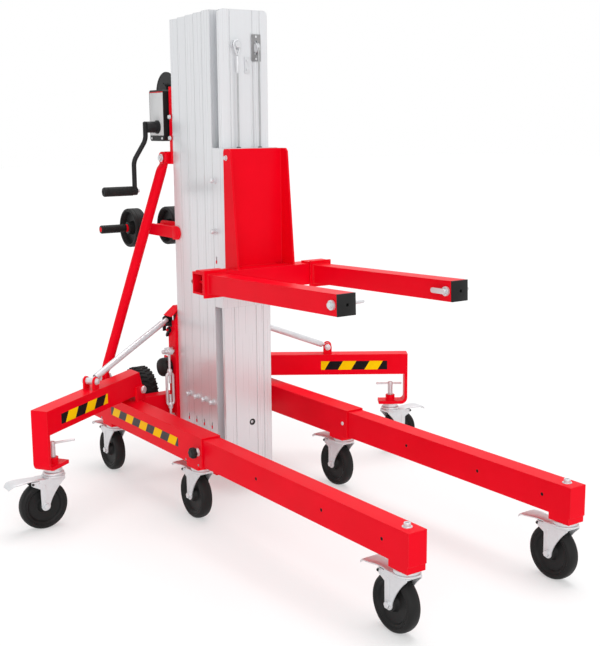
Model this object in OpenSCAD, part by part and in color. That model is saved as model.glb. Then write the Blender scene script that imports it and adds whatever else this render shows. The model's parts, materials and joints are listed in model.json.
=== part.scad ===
// Material hoist: a telescopic aluminium mast on a steel base with sliding front legs,
// folding outriggers, braked casters, a hand winch and a pair of load forks.
// Units are millimetres. +Z is up, the forks point to -Y, the floor is z = 0.

/* [Casters] */
// Diameter of the caster wheels
wheel_d = 160; // [140:1:180]
// Width of the caster wheel treads
wheel_w = 40; // [34:1:46]
// Distance from the swivel axis back to the wheel axle
caster_trail = 40; // [34:1:46]
// Length of the brake pedal behind the swivel axis
pedal_reach = 160; // [145:1:175]

/* [Legs] */
// Distance between the centre lines of the two legs
leg_gauge = 582; // [560:1:640]
// Width of the sliding leg tubes
ext_w = 60; // [54:1:68]
// Height of the sliding leg tubes
ext_h = 90; // [80:1:100]
// Wall of the leg tubes
leg_wall = 4.6; // [3.6:0.1:6]
// Reach of the sliding legs in front of the rear face of the mast
leg_reach = 1570; // [1500:1:1700]
// Reach of the outer leg tubes in front of the rear face of the mast
leg_front = 557; // [530:1:600]
// Reach of the outer leg tubes behind the rear face of the mast
leg_rear = 353; // [340:1:390]
// Length of sliding leg that stays inside the outer tube
ext_insert = 250; // [220:1:290]

/* [Mast] */
// Width of the mast sections
mast_w = 200; // [190:1:215]
// Depth that each nested section takes up
section_pitch = 55.2; // [52:0.1:60]
// Height of the top of the lowered mast
mast_top = 1660; // [1600:1:1900]
// Height of the bottom of the mast above the floor
mast_low = 70; // [62:1:85]
// Wall of the mast extrusions
section_wall = 5; // [4:0.1:6]

/* [Carriage and forks] */
// Height of the bottom of the carriage as it stands
carriage_z = 667; // [640:1:700]
// Length of the carriage
carriage_h = 542; // [520:1:590]
// Depth of the carriage from its back to the fork frame
carriage_d = 96; // [90:1:104]
// Height of the middle of the fork bar above the bottom of the carriage
bar_up = 112; // [104:1:125]
// Height of the fork bar tube
bar_h = 72; // [66:1:80]
// Depth of the fork bar tube
bar_d = 70; // [64:1:76]
// Length of the fork bar tube
bar_l = 504; // [500:1:520]
// Width of the fork frame back plate
back_w = 228; // [215:1:240]
// Distance of each fork from the middle of the hoist
fork_x = 208; // [200:1:212]
// Side of the square fork tubes
fork_side = 62; // [54:1:64]
// Length of the forks in front of their clamp plates
fork_l = 700; // [600:1:800]
// Upward slope of the forks, in degrees
fork_tilt = 1.8; // [0:0.1:2]

/* [Outriggers] */
// Angle of the outriggers forward of straight sideways, in degrees
arm_angle = 34.3; // [30:0.1:38]
// Length of an outrigger from its hinge to its outer end
arm_l = 600; // [570:1:640]
// Width of the outrigger box
arm_w = 60; // [54:1:66]
// Height of the outrigger box
arm_h = 80; // [74:1:86]
// Distance of the stay tab from the hinge
stay_u = 288; // [270:1:310]
// Distance of the jack screw from the outer end of the arm
jack_in = 65; // [58:1:72]
// Diameter of the stay rods
stay_d = 18; // [14:1:20]

/* [Winch and rear wheels] */
// Height of the winch drum axis
drum_z = 1402; // [1395:1:1420]
// Diameter of the winch drum cheeks
drum_d = 150; // [130:1:160]
// Length of the winch crank from its shaft to its grip
crank_r = 225; // [200:1:230]
// Height of the crank shaft
crank_z = 1279; // [1270:1:1290]
// Diameter of the bracing tubes
brace_d = 35; // [30:1:40]
// Height of the upper loading wheels
load_z = 893; // [870:1:920]
// Distance of the loading wheel axle behind the mast
load_reach = 374; // [350:1:400]
// Diameter of the loading wheels
load_d = 150; // [140:1:160]
// Diameter of the treaded rear wheels
tyre_d = 200; // [180:1:210]

/* [Hidden] */
$fn = 64;
// One overrun for every cut, one gap between faces that move, one running fit
cut = 1;
gap = 0.3;
fit = 0.05;

// Caster head, stem, side plates and axle
head_gap = 9;
head_t = 16;
head_d = 76;
stem_d = 14;
stem_l = 15;
side_t = 4;
axle_d = 12;
hub_extra = 5;
hub_d = 44;
rim_t = 12;
web_t = 12;
rim_round = 6;
side_w = 30;
side_spread = 52;
side_reach = 58;
pedal_w = 62;
pedal_t = 5;
pedal_drop = 12;
pedal_nose = 18;
caster_h = wheel_d + head_gap + head_t;

// Legs
slide = 0.4;
leg_w = ext_w + 2 * (slide + leg_wall);
leg_h = ext_h + 2 * (slide + leg_wall);
leg_x = leg_gauge / 2;
pad_t = 14;
pad_d = 74;
leg_z = caster_h + gap + pad_t;
leg_mid = leg_z + leg_h / 2;
leg_top = leg_z + leg_h;
ext_z = leg_z + leg_wall + slide;
ext_wall = 4;
front_swivel = 41;
mid_swivel = 65;
rear_swivel = 200;
hole_d = 10;
hole_1 = 105;
hole_2 = 367;
hole_3 = 698;
index_holes = [hole_1, hole_2, hole_3];
knob_back = 25;
knob_d = 36;
knob_h = 20;
knob_lobe_share = 0.3;
knob_core_share = 0.78;
knob_lobes = 6;
plunger_d = 8;
plunger_boss_d = 22;
plunger_boss_h = 9;

// Everything along Y is measured from the rear face of the mast, which stands at mast_y
load_w = 50;
rear_reach = load_reach + load_d / 2;
mast_y = (leg_reach - rear_reach) / 2;
ext_front_y = mast_y - leg_reach;
leg_front_y = mast_y - leg_front;
leg_rear_y = mast_y + leg_rear;

// Mast sections
section_count = 5;
section_gap = 1.2;
lip_t = 36;
lip_l = 42;
lip_wall = 4;
wrap_d = section_pitch - section_gap;
cavity_w = mast_w - 2 * section_wall;
mouth_w = mast_w - 2 * lip_l;
flange_w = cavity_w - 2 * slide;
flange_y0 = section_pitch + lip_t + slide;
flange_y1 = section_pitch + wrap_d - section_wall - slide;
flange_wall = 3;
flange_round = 16;
neck_x = 40;
neck_t = 7;
groove_places = [-53, 35, 64];
groove_w = 3;
groove_t = 1.5;
section_step = 3;
mast_front_y = mast_y - (section_count - 1) * section_pitch - flange_y1;
track_slot_w = 6;
track_slot_h = 24;
track_slot_z = 222;
track_slot_back = 15;
stud_hole_d = 8;
stud_hole_z = 322;
bush_d = 18;
bush_x = 13;
bush_z = 249;

// Carriage and fork frame
carriage_y = mast_y - section_count * section_pitch;
carriage_wall = 6;
carriage_lid_t = 10;
carriage_slot_up = 151;
frame_y = carriage_y - carriage_d;
plate_t = 8;
packer_t = 12;
packer_w = 160;
bar_wall = 6;
back_down = 2;
bar_z = carriage_z + bar_up;
back_h = carriage_h - bar_up - back_down;
bar_y = frame_y - plate_t - packer_t;
bar_top = bar_z + bar_h / 2;
gusset_t = 6;
gusset_top = 36;
gusset_low = 72;
gusset_round = 10;
clamp_w = 86;
clamp_h = 90;
clamp_out = 44;
clamp_t = 8;
clamp_lip = 48;
clamp_lip_t = 6;
clamp_lip_w = 86;
stud_d = 12;
stud_out = 17;
slot_travel = 50;
clamp_knob_d = 38;
clamp_knob_h = 22;
clamp_y = bar_y - bar_d - gap;
fork_y = clamp_y - clamp_t;
fork_wall = 4;
fork_weld = 5;
cap_t = 5;
cap_plug = 10;
cap_hole_d = 8;
fork_tip = fork_l - cap_t;
pin_d = 10;
pin_back = 24;
pin_head_d = 28;
pin_head_t = 7;
pin_tail = 22;
pin_ring_d = 6;

// Base beam and mast post
beam_front = 38;
beam_d = 50;
post_d = 53;
beam_wall = 5;
beam_l = leg_gauge - leg_w;
post_w = mast_w + 24;
post_t = 8;
post_top = 578;
roof_t = 5;
roof_out = 19;
roof_up = 18;
roof_run = 41;
roof_rise = 33;
foot_t = 8;
foot_out = 10;
foot_z = mast_low - gap - foot_t;

// Outriggers: hinge point of the left one
hinge_in = 29;
hinge_back = 53;
hinge_up = 36;
hinge_d = 16;
hinge_x = -(leg_x - hinge_in);
hinge_y = mast_y + hinge_back;
hinge_z = leg_top + hinge_up;
jack_u = arm_l - jack_in;
arm_low = 15;
arm_tail = 28;
arm_plug = 60;
mitre_top = 10;
mitre_low = 36;
arm_wall = 5;
ear_t = 8;
ear_round_d = 34;
ear_out = 44;
ear_head_d = 26;
ear_head_t = 8;
leaf_t = 12;
leaf_bend = 14;
leaf_top = arm_h - arm_low;
foot_gap = 15;
foot_low = caster_h + foot_gap - hinge_z;
foot_l = 112;
boss_d = 36;
boss_h = 20;
jack_d = 20;
jack_top = 106;
jack_disc_d = 58;
tbar_d = 8;
tbar_l = 100;
tbar_down = 8;
tbar_shift = 28;
tab_gap = 30;
tab_t = 7;
tab_d = 32;
tab_up = 28;
tab_pin_d = 10;
eye_d = 24;
stay_neck_d = 12;
stay_neck_l = 30;
cradle_out = 26;
cradle_back = 38;
cradle_z = 580;
cradle_t = 6;
cradle_l = 20;

// Latch levers on the post
latch_pin_d = 8;
latch_pin_l = 16;
latch_t = 10;
latch_z = 557;
latch_out = 4;
latch_hook = 26;
latch_tail = 60;
latch_w = 16;
latch_lean = 35;

// Turnbuckles beside the post
buckle_out = 32;
buckle_y = 14;
buckle_top = 466;
buckle_low = 215;
buckle_mid = 324;
buckle_rod_d = 10;
buckle_eye_d = 28;
buckle_eye_t = 11;
buckle_body_l = 131;
buckle_body_w = 34;
buckle_body_d = 9;
buckle_boss_d = 18;
buckle_boss_h = 16;
lug_t = 8;
lug_h = 24;
lug_w = 24;

// Rear wheels
tyre_x = 165;
tyre_y = 193;
tyre_z = 280;
tyre_w = 60;
tyre_hub_d = 70;
tyre_hub_w = 66;
tyre_axle_d = 20;
tyre_collar_d = 32;
tyre_collar_t = 6;
tyre_wall = 34;
tyre_shoulder = 12;
tread_count = 24;
tread_t = 5;
tread_w = 7;

// Winch bracket, winch and crank
bracket_low = 1148;
bracket_high = 1420;
bracket_t = 8;
bracket_flange = 18;
lug_x = 105;
lug_in = 30;
lug_back = 90;
lug_tall = 44;
brace_top_back = 53;
brace_top_z = 1170;
brace_low_back = 245;
brace_low_up = 52;
brace_eye_d = 42;
brace_eye_t = 14;
brace_bolt_d = 12;
brace_bolt_l = 30;
brace_head_d = 22;
brace_head_t = 8;
brace_taper = 30;
brace_neck_d = 10;
brace_rim_share = 0.4;
case_x0 = 63;
case_x1 = 115;
case_y0 = 36;
case_y1 = 143;
case_low = 1229;
case_high = 1410;
case_round = 10;
rack_t = 6;
rack_low = 1340;
rack_round_d = 64;
drum_back = 136;
drum_core_d = 70;
drum_half = 50;
cheek_t = 5;
drum_shaft_d = 20;
crank_back = 83;
crank_shaft_d = 16;
crank_shaft_in = 20;
crank_hub_d = 40;
crank_hub_l = 50;
crank_flange_d = 48;
crank_flange_t = 6;
crank_rod_d = 18;
crank_ball_share = 1.12;
crank_step = 40;
crank_bend_share = 0.2;
crank_low_share = 0.53;
grip_d = 34;
grip_l = 122;
grip_pin_d = 12;
grip_end_d = 20;
grip_end_t = 6;

// Upper loading wheels
load_plate_w = 140;
load_plate_h = 130;
load_plate_t = 8;
load_arm_x = 45;
load_arm_t = 10;
load_arm_h = 43;
load_axle_d = 20;
load_hub_w = 54;
load_hub_d = 40;
load_rim_t = 9;
load_web_t = 10;
load_collar_d = 30;
load_collar_t = 8;
load_grip_l = 104;
load_grip_d = 32;

// Cable, its anchor and its sheave on the front section
cable_d = 6;
cable_x = -31;
cable_out = 12;
anchor_down = 114;
anchor_z = mast_top - anchor_down;
anchor_d = 20;
anchor_l = 20;
anchor_washer_d = 30;
anchor_washer_t = 4;
sheave_x = 48.5;
sheave_down = 122;
sheave_z = mast_top - sheave_down;
sheave_d = 36;
sheave_t = 11;
sheave_groove = 4;
sheave_axle_d = 8;
sheave_out = 2;
cheek_plate_t = 3;
cheek_plate_h = 84;
cheek_plate_w = 32;
cheek_h = 26;
cheek_out = 8;
cheek_d = 20;
keeper_x = 12;
keeper_down = 179;
keeper_z = mast_top - keeper_down;
keeper_w = 18;
keeper_h = 54;
keeper_t = 5;
keeper_screw_d = 10;
keeper_screw_t = 4;
keeper_screw_share = 0.28;

// Colours
red = [0.87, 0.02, 0.08];
alu = [0.82, 0.83, 0.84];
zinc = [0.75, 0.77, 0.79];
black = [0.08, 0.08, 0.09];
rubber = [0.12, 0.12, 0.12];

places = ["front", "mid", "rear", "side"];
hands = ["left", "right"];

// Small helpers

// Draws its children as they are for the left hand and mirrored for the right hand
module on_side(hand) {
  mirror([hand == "right" ? 1 : 0, 0, 0]) children();
}

module along_x(d, l) {
  rotate([0, 90, 0]) cylinder(d = d, h = l);
}

module along_y(d, l) {
  rotate([-90, 0, 0]) cylinder(d = d, h = l);
}

module middle_x(d, l) {
  translate([-l / 2, 0, 0]) along_x(d, l);
}

module middle_y(d, l) {
  translate([0, -l / 2, 0]) along_y(d, l);
}

// Round rod between two points
module rod(a, b, d) {
  v = b - a;
  l = norm(v);
  translate(a) rotate([0, acos(v[2] / l), atan2(v[1], v[0])]) cylinder(d = d, h = l);
}

// Flat rectangle with round corners, from its lower corner
module round_rect(w, h, r) {
  translate([r, 0]) square([w - 2 * r, h]);
  translate([0, r]) square([w, h - 2 * r]);
  for (x = [r, w - r], y = [r, h - r]) translate([x, y]) circle(r);
}

// Square or rectangular tube along Y from y = 0 to y = l, centred on X and Z
module tube_y(w, h, l, wall) {
  difference() {
    translate([-w / 2, 0, -h / 2]) cube([w, l, h]);
    translate([-w / 2 + wall, -cut, -h / 2 + wall]) cube([w - 2 * wall, l + 2 * cut, h - 2 * wall]);
  }
}

// Star-shaped hand knob that stands on z = 0
module star_knob(d, h) {
  core = d * knob_core_share;
  lobe = d * knob_lobe_share;
  cylinder(d = core, h = h);
  for (i = [0 : knob_lobes - 1])
    rotate([0, 0, i * 360 / knob_lobes]) translate([(d - lobe) / 2, 0, 0]) cylinder(d = lobe, h = h);
}

// Casters: the swivel axis is the local Z axis and the wheel trails towards +Y

function swivel_y(place) =
  place == "front" ? ext_front_y + front_swivel :
  place == "mid" ? leg_front_y + mid_swivel : leg_rear_y - rear_swivel;

module at_caster(place, hand) {
  if (place == "side")
    at_outrigger(hand) translate([jack_u, 0, -hinge_z]) rotate([0, 0, -arm_angle - 90]) children();
  else
    on_side(hand) translate([-leg_x, swivel_y(place), 0]) children();
}

module caster_side_outline() {
  axle_r = side_w / 2;
  top = caster_h - head_t;
  polygon([
    [caster_trail - axle_r, wheel_d / 2], [caster_trail + axle_r, wheel_d / 2],
    [side_reach, top - pedal_drop], [side_reach, top], [-head_d / 2 + head_gap, top]
  ]);
  translate([caster_trail, wheel_d / 2]) circle(d = side_w);
}

module caster_fork(place, hand) {
  inner = wheel_w / 2 + hub_extra / 2 + gap;
  top = caster_h - head_t;
  color(zinc) at_caster(place, hand) difference() {
    union() {
      translate([0, 0, top]) cylinder(d = head_d, h = head_t / 2);
      translate([0, 0, top + head_t / 2]) cylinder(d = head_d - head_t / 2, h = head_t / 2);
      translate([0, 0, caster_h - head_t / 2]) cylinder(d = stem_d, h = head_t / 2 + stem_l);
      translate([-inner - side_t, -head_d / 2 + head_gap, top - side_t])
        cube([2 * (inner + side_t), side_reach + head_d / 2 - head_gap, side_t + side_t / 2]);
      for (x = [-inner - side_t, inner])
        translate([x, 0, 0]) rotate([90, 0, 90]) linear_extrude(side_t) caster_side_outline();
      translate([0, caster_trail, wheel_d / 2]) middle_x(axle_d, 2 * (inner + side_t));
      for (x = [-inner - 2 * side_t, inner + side_t])
        translate([x, caster_trail, wheel_d / 2]) along_x(axle_d + side_t, side_t);
      caster_pedal();
    }
    translate([-inner, side_reach - pedal_nose, top - pedal_drop - cut])
      cube([2 * inner, pedal_nose + cut, pedal_drop - side_t]);
  }
}

// Stamped brake pedal, wide at its tip and bent down a little
module caster_pedal() {
  z = caster_h - head_t - side_t;
  start = side_reach - pedal_nose;
  tip = pedal_reach - pedal_nose;
  neck = side_spread / 2;
  translate([0, 0, z]) linear_extrude(pedal_t) polygon([
    [-neck, start], [neck, start], [pedal_w / 2, tip], [pedal_w / 2, pedal_reach],
    [-pedal_w / 2, pedal_reach], [-pedal_w / 2, tip]
  ]);
  translate([-pedal_w / 2, pedal_reach - pedal_t, z - pedal_drop]) cube([pedal_w, pedal_t, pedal_drop]);
}

module wheel_outline(d, w, hub, hub_w, bore, rim, web) {
  r = d / 2;
  polygon([
    [bore / 2, -hub_w / 2], [hub / 2, -hub_w / 2], [hub / 2 + web / 2, -web / 2],
    [r - rim - web / 2, -web / 2], [r - rim, -w / 2], [r - rim_round, -w / 2],
    [r, -w / 2 + rim_round], [r, w / 2 - rim_round],
    [r - rim_round, w / 2], [r - rim, w / 2], [r - rim - web / 2, web / 2],
    [hub / 2 + web / 2, web / 2], [hub / 2, hub_w / 2], [bore / 2, hub_w / 2]
  ]);
}

module caster_wheel(place, hand) {
  color(rubber) at_caster(place, hand) translate([0, caster_trail, wheel_d / 2]) rotate([0, 90, 0])
    rotate_extrude() wheel_outline(wheel_d, wheel_w, hub_d, wheel_w + hub_extra,
      axle_d + 2 * fit, rim_t, web_t);
}

// Legs

module leg_tube(hand) {
  color(red) on_side(hand) difference() {
    union() {
      translate([-leg_x, leg_front_y, leg_mid]) tube_y(leg_w, leg_h, leg_front + leg_rear, leg_wall);
      for (place = ["mid", "rear"])
        translate([-leg_x - leg_w / 2, swivel_y(place) - pad_d / 2, leg_z - pad_t])
          cube([leg_w, pad_d, pad_t + leg_wall / 2]);
      translate([-leg_x - leg_w / 2 - plunger_boss_h, leg_front_y + knob_back, leg_mid])
        along_x(plunger_boss_d, plunger_boss_h + leg_wall / 2);
      outrigger_ears();
      rear_wheel_axle();
      brace_ears();
    }
    for (place = ["mid", "rear"])
      translate([-leg_x, swivel_y(place), leg_z - pad_t - cut])
        cylinder(d = stem_d + 2 * fit, h = stem_l + gap + cut + gap);
    translate([-leg_x - leg_w / 2 - plunger_boss_h - cut, leg_front_y + knob_back, leg_mid])
      along_x(plunger_d + 2 * fit, plunger_boss_h + leg_wall + 2 * cut);
    beam_clearance();
  }
}

// Keeps the ears on top of the leg clear of the base beam beside it
module beam_clearance() {
  translate([-beam_l / 2, mast_y + beam_front - gap, leg_z]) cube([beam_l, beam_d + 2 * gap, leg_h + gap]);
}

// Hinge ears and pin that carry the outrigger, welded on top of the leg
module outrigger_ears() {
  foot = -hinge_up - leg_wall / 2;
  span = arm_w / 2 + gap;
  at_hinge() {
    for (v = [-span - ear_t, span]) translate([0, v, 0]) {
      translate([-ear_round_d / 2, 0, foot]) cube([ear_round_d / 2 + ear_out, ear_t, -foot]);
      cube([ear_out, ear_t, ear_round_d / 2]);
      along_y(ear_round_d, ear_t);
    }
    middle_y(hinge_d, 2 * (span + ear_t + ear_head_t));
    for (v = [-span - ear_t - ear_head_t, span + ear_t]) translate([0, v, 0])
      along_y(ear_head_d, ear_head_t);
  }
}

// Stub axle of the treaded rear wheel, with a collar on each side of the hub
module rear_wheel_axle() {
  inner = leg_x - leg_w / 2;
  reach = tyre_hub_w / 2 + gap;
  translate([-inner - leg_wall / 2, mast_y + tyre_y, tyre_z])
    along_x(tyre_axle_d, inner + leg_wall / 2 - tyre_x + reach + tyre_collar_t);
  for (x = [-reach - tyre_collar_t, reach])
    translate([-tyre_x + x, mast_y + tyre_y, tyre_z]) along_x(tyre_collar_d, tyre_collar_t);
}

// Two ears on the leg that hold the foot of the brace
module brace_ears() {
  y = mast_y + brace_low_back;
  z = leg_top + brace_low_up;
  for (x = [-brace_eye_t / 2 - gap - lug_t, brace_eye_t / 2 + gap]) translate([-leg_x + x, y, z])
    difference() {
    union() {
      along_x(brace_eye_d, lug_t);
      translate([0, -brace_eye_d / 2, -brace_low_up - leg_wall / 2])
        cube([lug_t, brace_eye_d, brace_low_up + leg_wall / 2]);
    }
    translate([-cut, 0, 0]) along_x(brace_bolt_d + 2 * fit, lug_t + 2 * cut);
  }
}

module leg_extension(hand) {
  l = leg_reach - leg_front + ext_insert;
  mid = ext_z + ext_h / 2;
  y = swivel_y("front");
  color(red) on_side(hand) difference() {
    union() {
      translate([-leg_x, ext_front_y, mid]) tube_y(ext_w, ext_h, l, ext_wall);
      translate([-leg_x - ext_w / 2, ext_front_y, ext_z]) cube([ext_w, ext_wall, ext_h]);
      translate([-leg_x - ext_w / 2, y - pad_d / 2, caster_h + gap])
        cube([ext_w, pad_d, ext_z - caster_h - gap + ext_wall / 2]);
    }
    for (h = index_holes)
      translate([-leg_x, ext_front_y + h, mid]) middle_x(hole_d, ext_w + 2 * cut);
    translate([-leg_x, y, caster_h - cut]) cylinder(d = stem_d + 2 * fit, h = stem_l + gap + cut + gap);
    translate([-leg_x - leg_w, ext_front_y - cut, caster_h]) cube([2 * leg_w, cut, ext_h]);
  }
}

module index_knob(hand) {
  x = -leg_x - leg_w / 2 - plunger_boss_h - gap;
  color(black) on_side(hand) translate([x, leg_front_y + knob_back, leg_mid]) {
    rotate([0, -90, 0]) star_knob(knob_d, knob_h);
    translate([-knob_h / 2, 0, 0]) along_x(plunger_d, knob_h / 2 + gap + plunger_boss_h + leg_wall - gap);
  }
}

// Base beam with the mast post, its roof and the foot under the mast

module base_beam() {
  color(red) {
    difference() {
      translate([-beam_l / 2, mast_y + beam_front, leg_z]) cube([beam_l, beam_d, leg_h]);
      translate([-beam_l / 2 - cut, mast_y + beam_front + beam_wall, leg_z + beam_wall])
        cube([beam_l + 2 * cut, beam_d - 2 * beam_wall, leg_h - 2 * beam_wall]);
    }
    mast_post();
    for (hand = hands) on_side(hand) {
      stay_cradle();
      buckle_lugs();
    }
  }
}

module mast_post() {
  side = post_w / 2;
  ridge = side + roof_out - roof_run;
  translate([-side, mast_y, foot_z]) cube([post_w, post_t, post_top - foot_z]);
  for (x = [-side, side - post_t])
    translate([x, mast_y + post_t / 2, leg_z]) cube([post_t, post_d - post_t / 2, post_top - leg_z]);
  // gable plate, and the roof that stands out over both sides
  translate([0, mast_y + post_t, post_top]) rotate([90, 0, 0]) linear_extrude(post_t) polygon([
    [-side, -cut], [side, -cut], [ridge, roof_up + roof_rise - roof_t / 2],
    [-ridge, roof_up + roof_rise - roof_t / 2]
  ]);
  translate([0, mast_y + post_d, post_top + roof_up]) rotate([90, 0, 0]) linear_extrude(post_d)
    roof_outline(side + roof_out, ridge);
  // foot plate below the mast sections
  depth = section_count * section_pitch;
  translate([-mast_w / 2 - foot_out, mast_y - depth, foot_z])
    cube([mast_w + 2 * foot_out, depth + post_t / 2, foot_t]);
}

// Bent sheet with two slopes and a flat top
module roof_outline(eave, ridge) {
  slope = norm([roof_run, roof_rise]);
  foot = eave - roof_t * slope / roof_rise;
  bend = ridge - roof_t * (slope - roof_run) / roof_rise;
  polygon([
    [-eave, 0], [-ridge, roof_rise], [ridge, roof_rise], [eave, 0],
    [foot, 0], [bend, roof_rise - roof_t], [-bend, roof_rise - roof_t], [-foot, 0]
  ]);
}

// Shelf on which the upper end of a stay lies
module stay_cradle() {
  x = -mast_w / 2 - cradle_out;
  y = mast_y + cradle_back;
  run = stay_head() - stay_foot();
  lean = atan2(run[2], norm([run[0], run[1]]));
  top = cradle_z - stay_d / 2 / cos(lean) - cradle_l / 2 * run[2] / run[0] - gap;
  far = -post_w / 2 + post_t / 2;
  translate([x - cradle_l / 2, y - cradle_l / 2, top - cradle_t])
    cube([far - x + cradle_l / 2, cradle_l, cradle_t]);
  translate([-post_w / 2 - latch_pin_l, y, latch_z - latch_w])
    along_x(latch_pin_d, latch_pin_l + post_t / 2);
}

// Plates that the two eyes of a turnbuckle are bolted to
module buckle_lugs() {
  x = -mast_w / 2 - buckle_out;
  y = mast_y + buckle_y + buckle_eye_t / 2 + gap;
  for (z = [buckle_low, buckle_top]) {
    back = z == buckle_low ? mast_y + beam_front + beam_wall / 2 : y + lug_t;
    translate([x - lug_w / 2, y, z - lug_h / 2])
      cube([-post_w / 2 + post_t / 2 - x + lug_w / 2, back - y, lug_h]);
    translate([x, y - buckle_eye_t - 2 * gap, z]) along_y(buckle_rod_d, buckle_eye_t + 2 * gap + lug_t / 2);
    translate([x, y - buckle_eye_t - 2 * gap - lug_t, z]) along_y(buckle_rod_d + lug_t, lug_t);
  }
}

module turnbuckles() {
  body_z = buckle_mid;
  half = buckle_body_l / 2;
  color(zinc) for (hand = hands) on_side(hand)
    translate([-mast_w / 2 - buckle_out, mast_y + buckle_y, 0]) difference() {
      union() {
        for (z = [buckle_low, buckle_top]) translate([0, 0, z]) middle_y(buckle_eye_d, buckle_eye_t);
        translate([0, 0, buckle_low])
          cylinder(d = buckle_rod_d, h = body_z - half - buckle_low + 2 * buckle_boss_h);
        translate([0, 0, body_z + half - 2 * buckle_boss_h])
          cylinder(d = buckle_rod_d, h = buckle_top - body_z - half + 2 * buckle_boss_h);
        for (z = [body_z - half, body_z + half - buckle_boss_h]) translate([0, 0, z]) {
          cylinder(d = buckle_boss_d, h = buckle_boss_h);
          translate([-buckle_body_w / 2, -buckle_body_d / 2, 0])
            cube([buckle_body_w, buckle_body_d, buckle_boss_h]);
        }
        for (x = [-1, 1]) translate([x * (buckle_body_w - buckle_body_d) / 2, 0, body_z - half])
          cylinder(d = buckle_body_d, h = buckle_body_l);
      }
      for (z = [buckle_low, buckle_top])
        translate([0, 0, z]) middle_y(buckle_rod_d + 2 * fit, buckle_eye_t + 2 * cut);
    }
}

// Mast

// One aluminium extrusion: a track open to the back, whose boxed lips hold the flange of the
// section behind it, and in front, on two neck ribs, the hollow flange that the next section holds
module section_outline() {
  difference() {
    union() {
      translate([-mast_w / 2, -wrap_d]) square([mast_w, wrap_d]);
      for (x = [-neck_x - neck_t, neck_x])
        translate([x, -flange_y0 - flange_wall / 2])
          square([neck_t, flange_y0 - wrap_d + flange_wall / 2 + section_wall / 2]);
      translate([-flange_w / 2, -flange_y1]) square([flange_w, flange_y1 - flange_y0]);
    }
    track_outline();
    flange_chambers();
    for (x = groove_places)
      translate([x - groove_w / 2, -flange_y1 - cut]) square([groove_w, groove_t + cut]);
  }
}

// The space inside a wrap, its mouth between the lips, and the hollows of the lips
module track_outline() {
  hollow_x = mouth_w / 2 + lip_wall;
  hollow_w = mast_w / 2 - section_wall - hollow_x;
  translate([-cavity_w / 2, -wrap_d + section_wall]) square([cavity_w, wrap_d - section_wall - lip_t]);
  translate([-mouth_w / 2, -lip_t - cut]) square([mouth_w, lip_t + 2 * cut]);
  for (x = [-hollow_x - hollow_w, hollow_x])
    translate([x, -lip_t + lip_wall]) square([hollow_w, lip_t - 2 * lip_wall]);
}

// Three flat hollows inside the flange, one between the neck ribs and one beyond each rib
module flange_chambers() {
  inner = neck_x - flange_wall;
  outer = neck_x + neck_t + flange_wall;
  h = flange_y1 - flange_y0 - 2 * flange_wall;
  w = flange_w / 2 - flange_wall - outer;
  translate([-inner, -flange_y1 + flange_wall]) square([2 * inner, h]);
  for (x = [-outer - w, outer]) translate([x, -flange_y1 + flange_wall]) square([w, h]);
}

// The sections rise a little from the back one to the front one
function section_top(i) = mast_top - (section_count - i) * section_step;

module mast_section(i) {
  color(alu) translate([0, mast_y - (i - 1) * section_pitch, 0]) difference() {
    translate([0, 0, mast_low]) linear_extrude(section_top(i) - mast_low) section_outline();
    if (i > 1) for (x = [-mast_w / 2, mast_w / 2]) translate([x, 0, 0]) {
      translate([-section_wall - cut, -track_slot_back - track_slot_w / 2, track_slot_z])
        cube([2 * (section_wall + cut), track_slot_w, track_slot_h]);
      translate([0, -wrap_d / 2, stud_hole_z]) middle_x(stud_hole_d, 2 * (section_wall + cut));
    }
    translate([bush_x, -flange_y1 - cut, bush_z]) along_y(bush_d, flange_y1 - flange_y0 + 2 * cut);
    for (m = [0, 1]) mirror([m, 0, 0]) flange_corner(section_top(i));
    if (i == section_count) sheave_pocket();
  }
}

// Rounds one upper corner of the flange
module flange_corner(top) {
  l = flange_y1 - flange_y0 + 2 * cut;
  translate([flange_w / 2 - flange_round, -flange_y1 - cut, top - flange_round]) difference() {
    cube([flange_round + cut, l, flange_round + cut]);
    translate([0, -cut, 0]) along_y(2 * flange_round, l + 2 * cut);
  }
}

// Pocket in the front flange into which the sheave and its cheeks dip
module sheave_pocket() {
  half = sheave_t / 2 + gap + cheek_plate_t + fit;
  h = sheave_d + 2 * sheave_groove;
  dip = max(sheave_d / 2 - sheave_out, cheek_d - cheek_out) + 2 * gap;
  translate([sheave_x - half, -flange_y1 - cut, sheave_z - h / 2]) cube([2 * half, dip + cut, h]);
}

module cable_fittings() {
  color(zinc) translate([0, mast_front_y, 0]) {
    translate([cable_x, 0, anchor_z]) {
      translate([0, -anchor_l, 0]) along_y(anchor_d, anchor_l);
      translate([0, -anchor_washer_t, 0]) along_y(anchor_washer_d, anchor_washer_t);
    }
    translate([keeper_x - keeper_w / 2, -keeper_t, keeper_z - keeper_h / 2])
      cube([keeper_w, keeper_t, keeper_h]);
    for (s = [-1, 1])
      translate([keeper_x, -keeper_t - keeper_screw_t, keeper_z + s * keeper_h * keeper_screw_share])
      along_y(keeper_screw_d, keeper_screw_t + keeper_t / 2);
    sheave_bracket();
  }
}

// Face plate of the sheave with its window, two cheeks behind it and the axle
module sheave_bracket() {
  half = sheave_t / 2 + gap;
  window = sheave_d + 2 * sheave_groove;
  translate([sheave_x, 0, sheave_z]) {
    difference() {
      translate([-cheek_plate_w / 2, -cheek_plate_t, -cheek_plate_h / 2])
        cube([cheek_plate_w, cheek_plate_t, cheek_plate_h]);
      translate([-half, -cheek_plate_t - cut, -window / 2])
        cube([2 * half, cheek_plate_t + 2 * cut, window]);
    }
    for (x = [-half - cheek_plate_t, half])
      translate([x, -cheek_out, -cheek_h / 2]) cube([cheek_plate_t, cheek_d, cheek_h]);
    translate([0, -sheave_out, 0]) middle_x(sheave_axle_d, 2 * (half + cheek_plate_t));
  }
}

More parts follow.
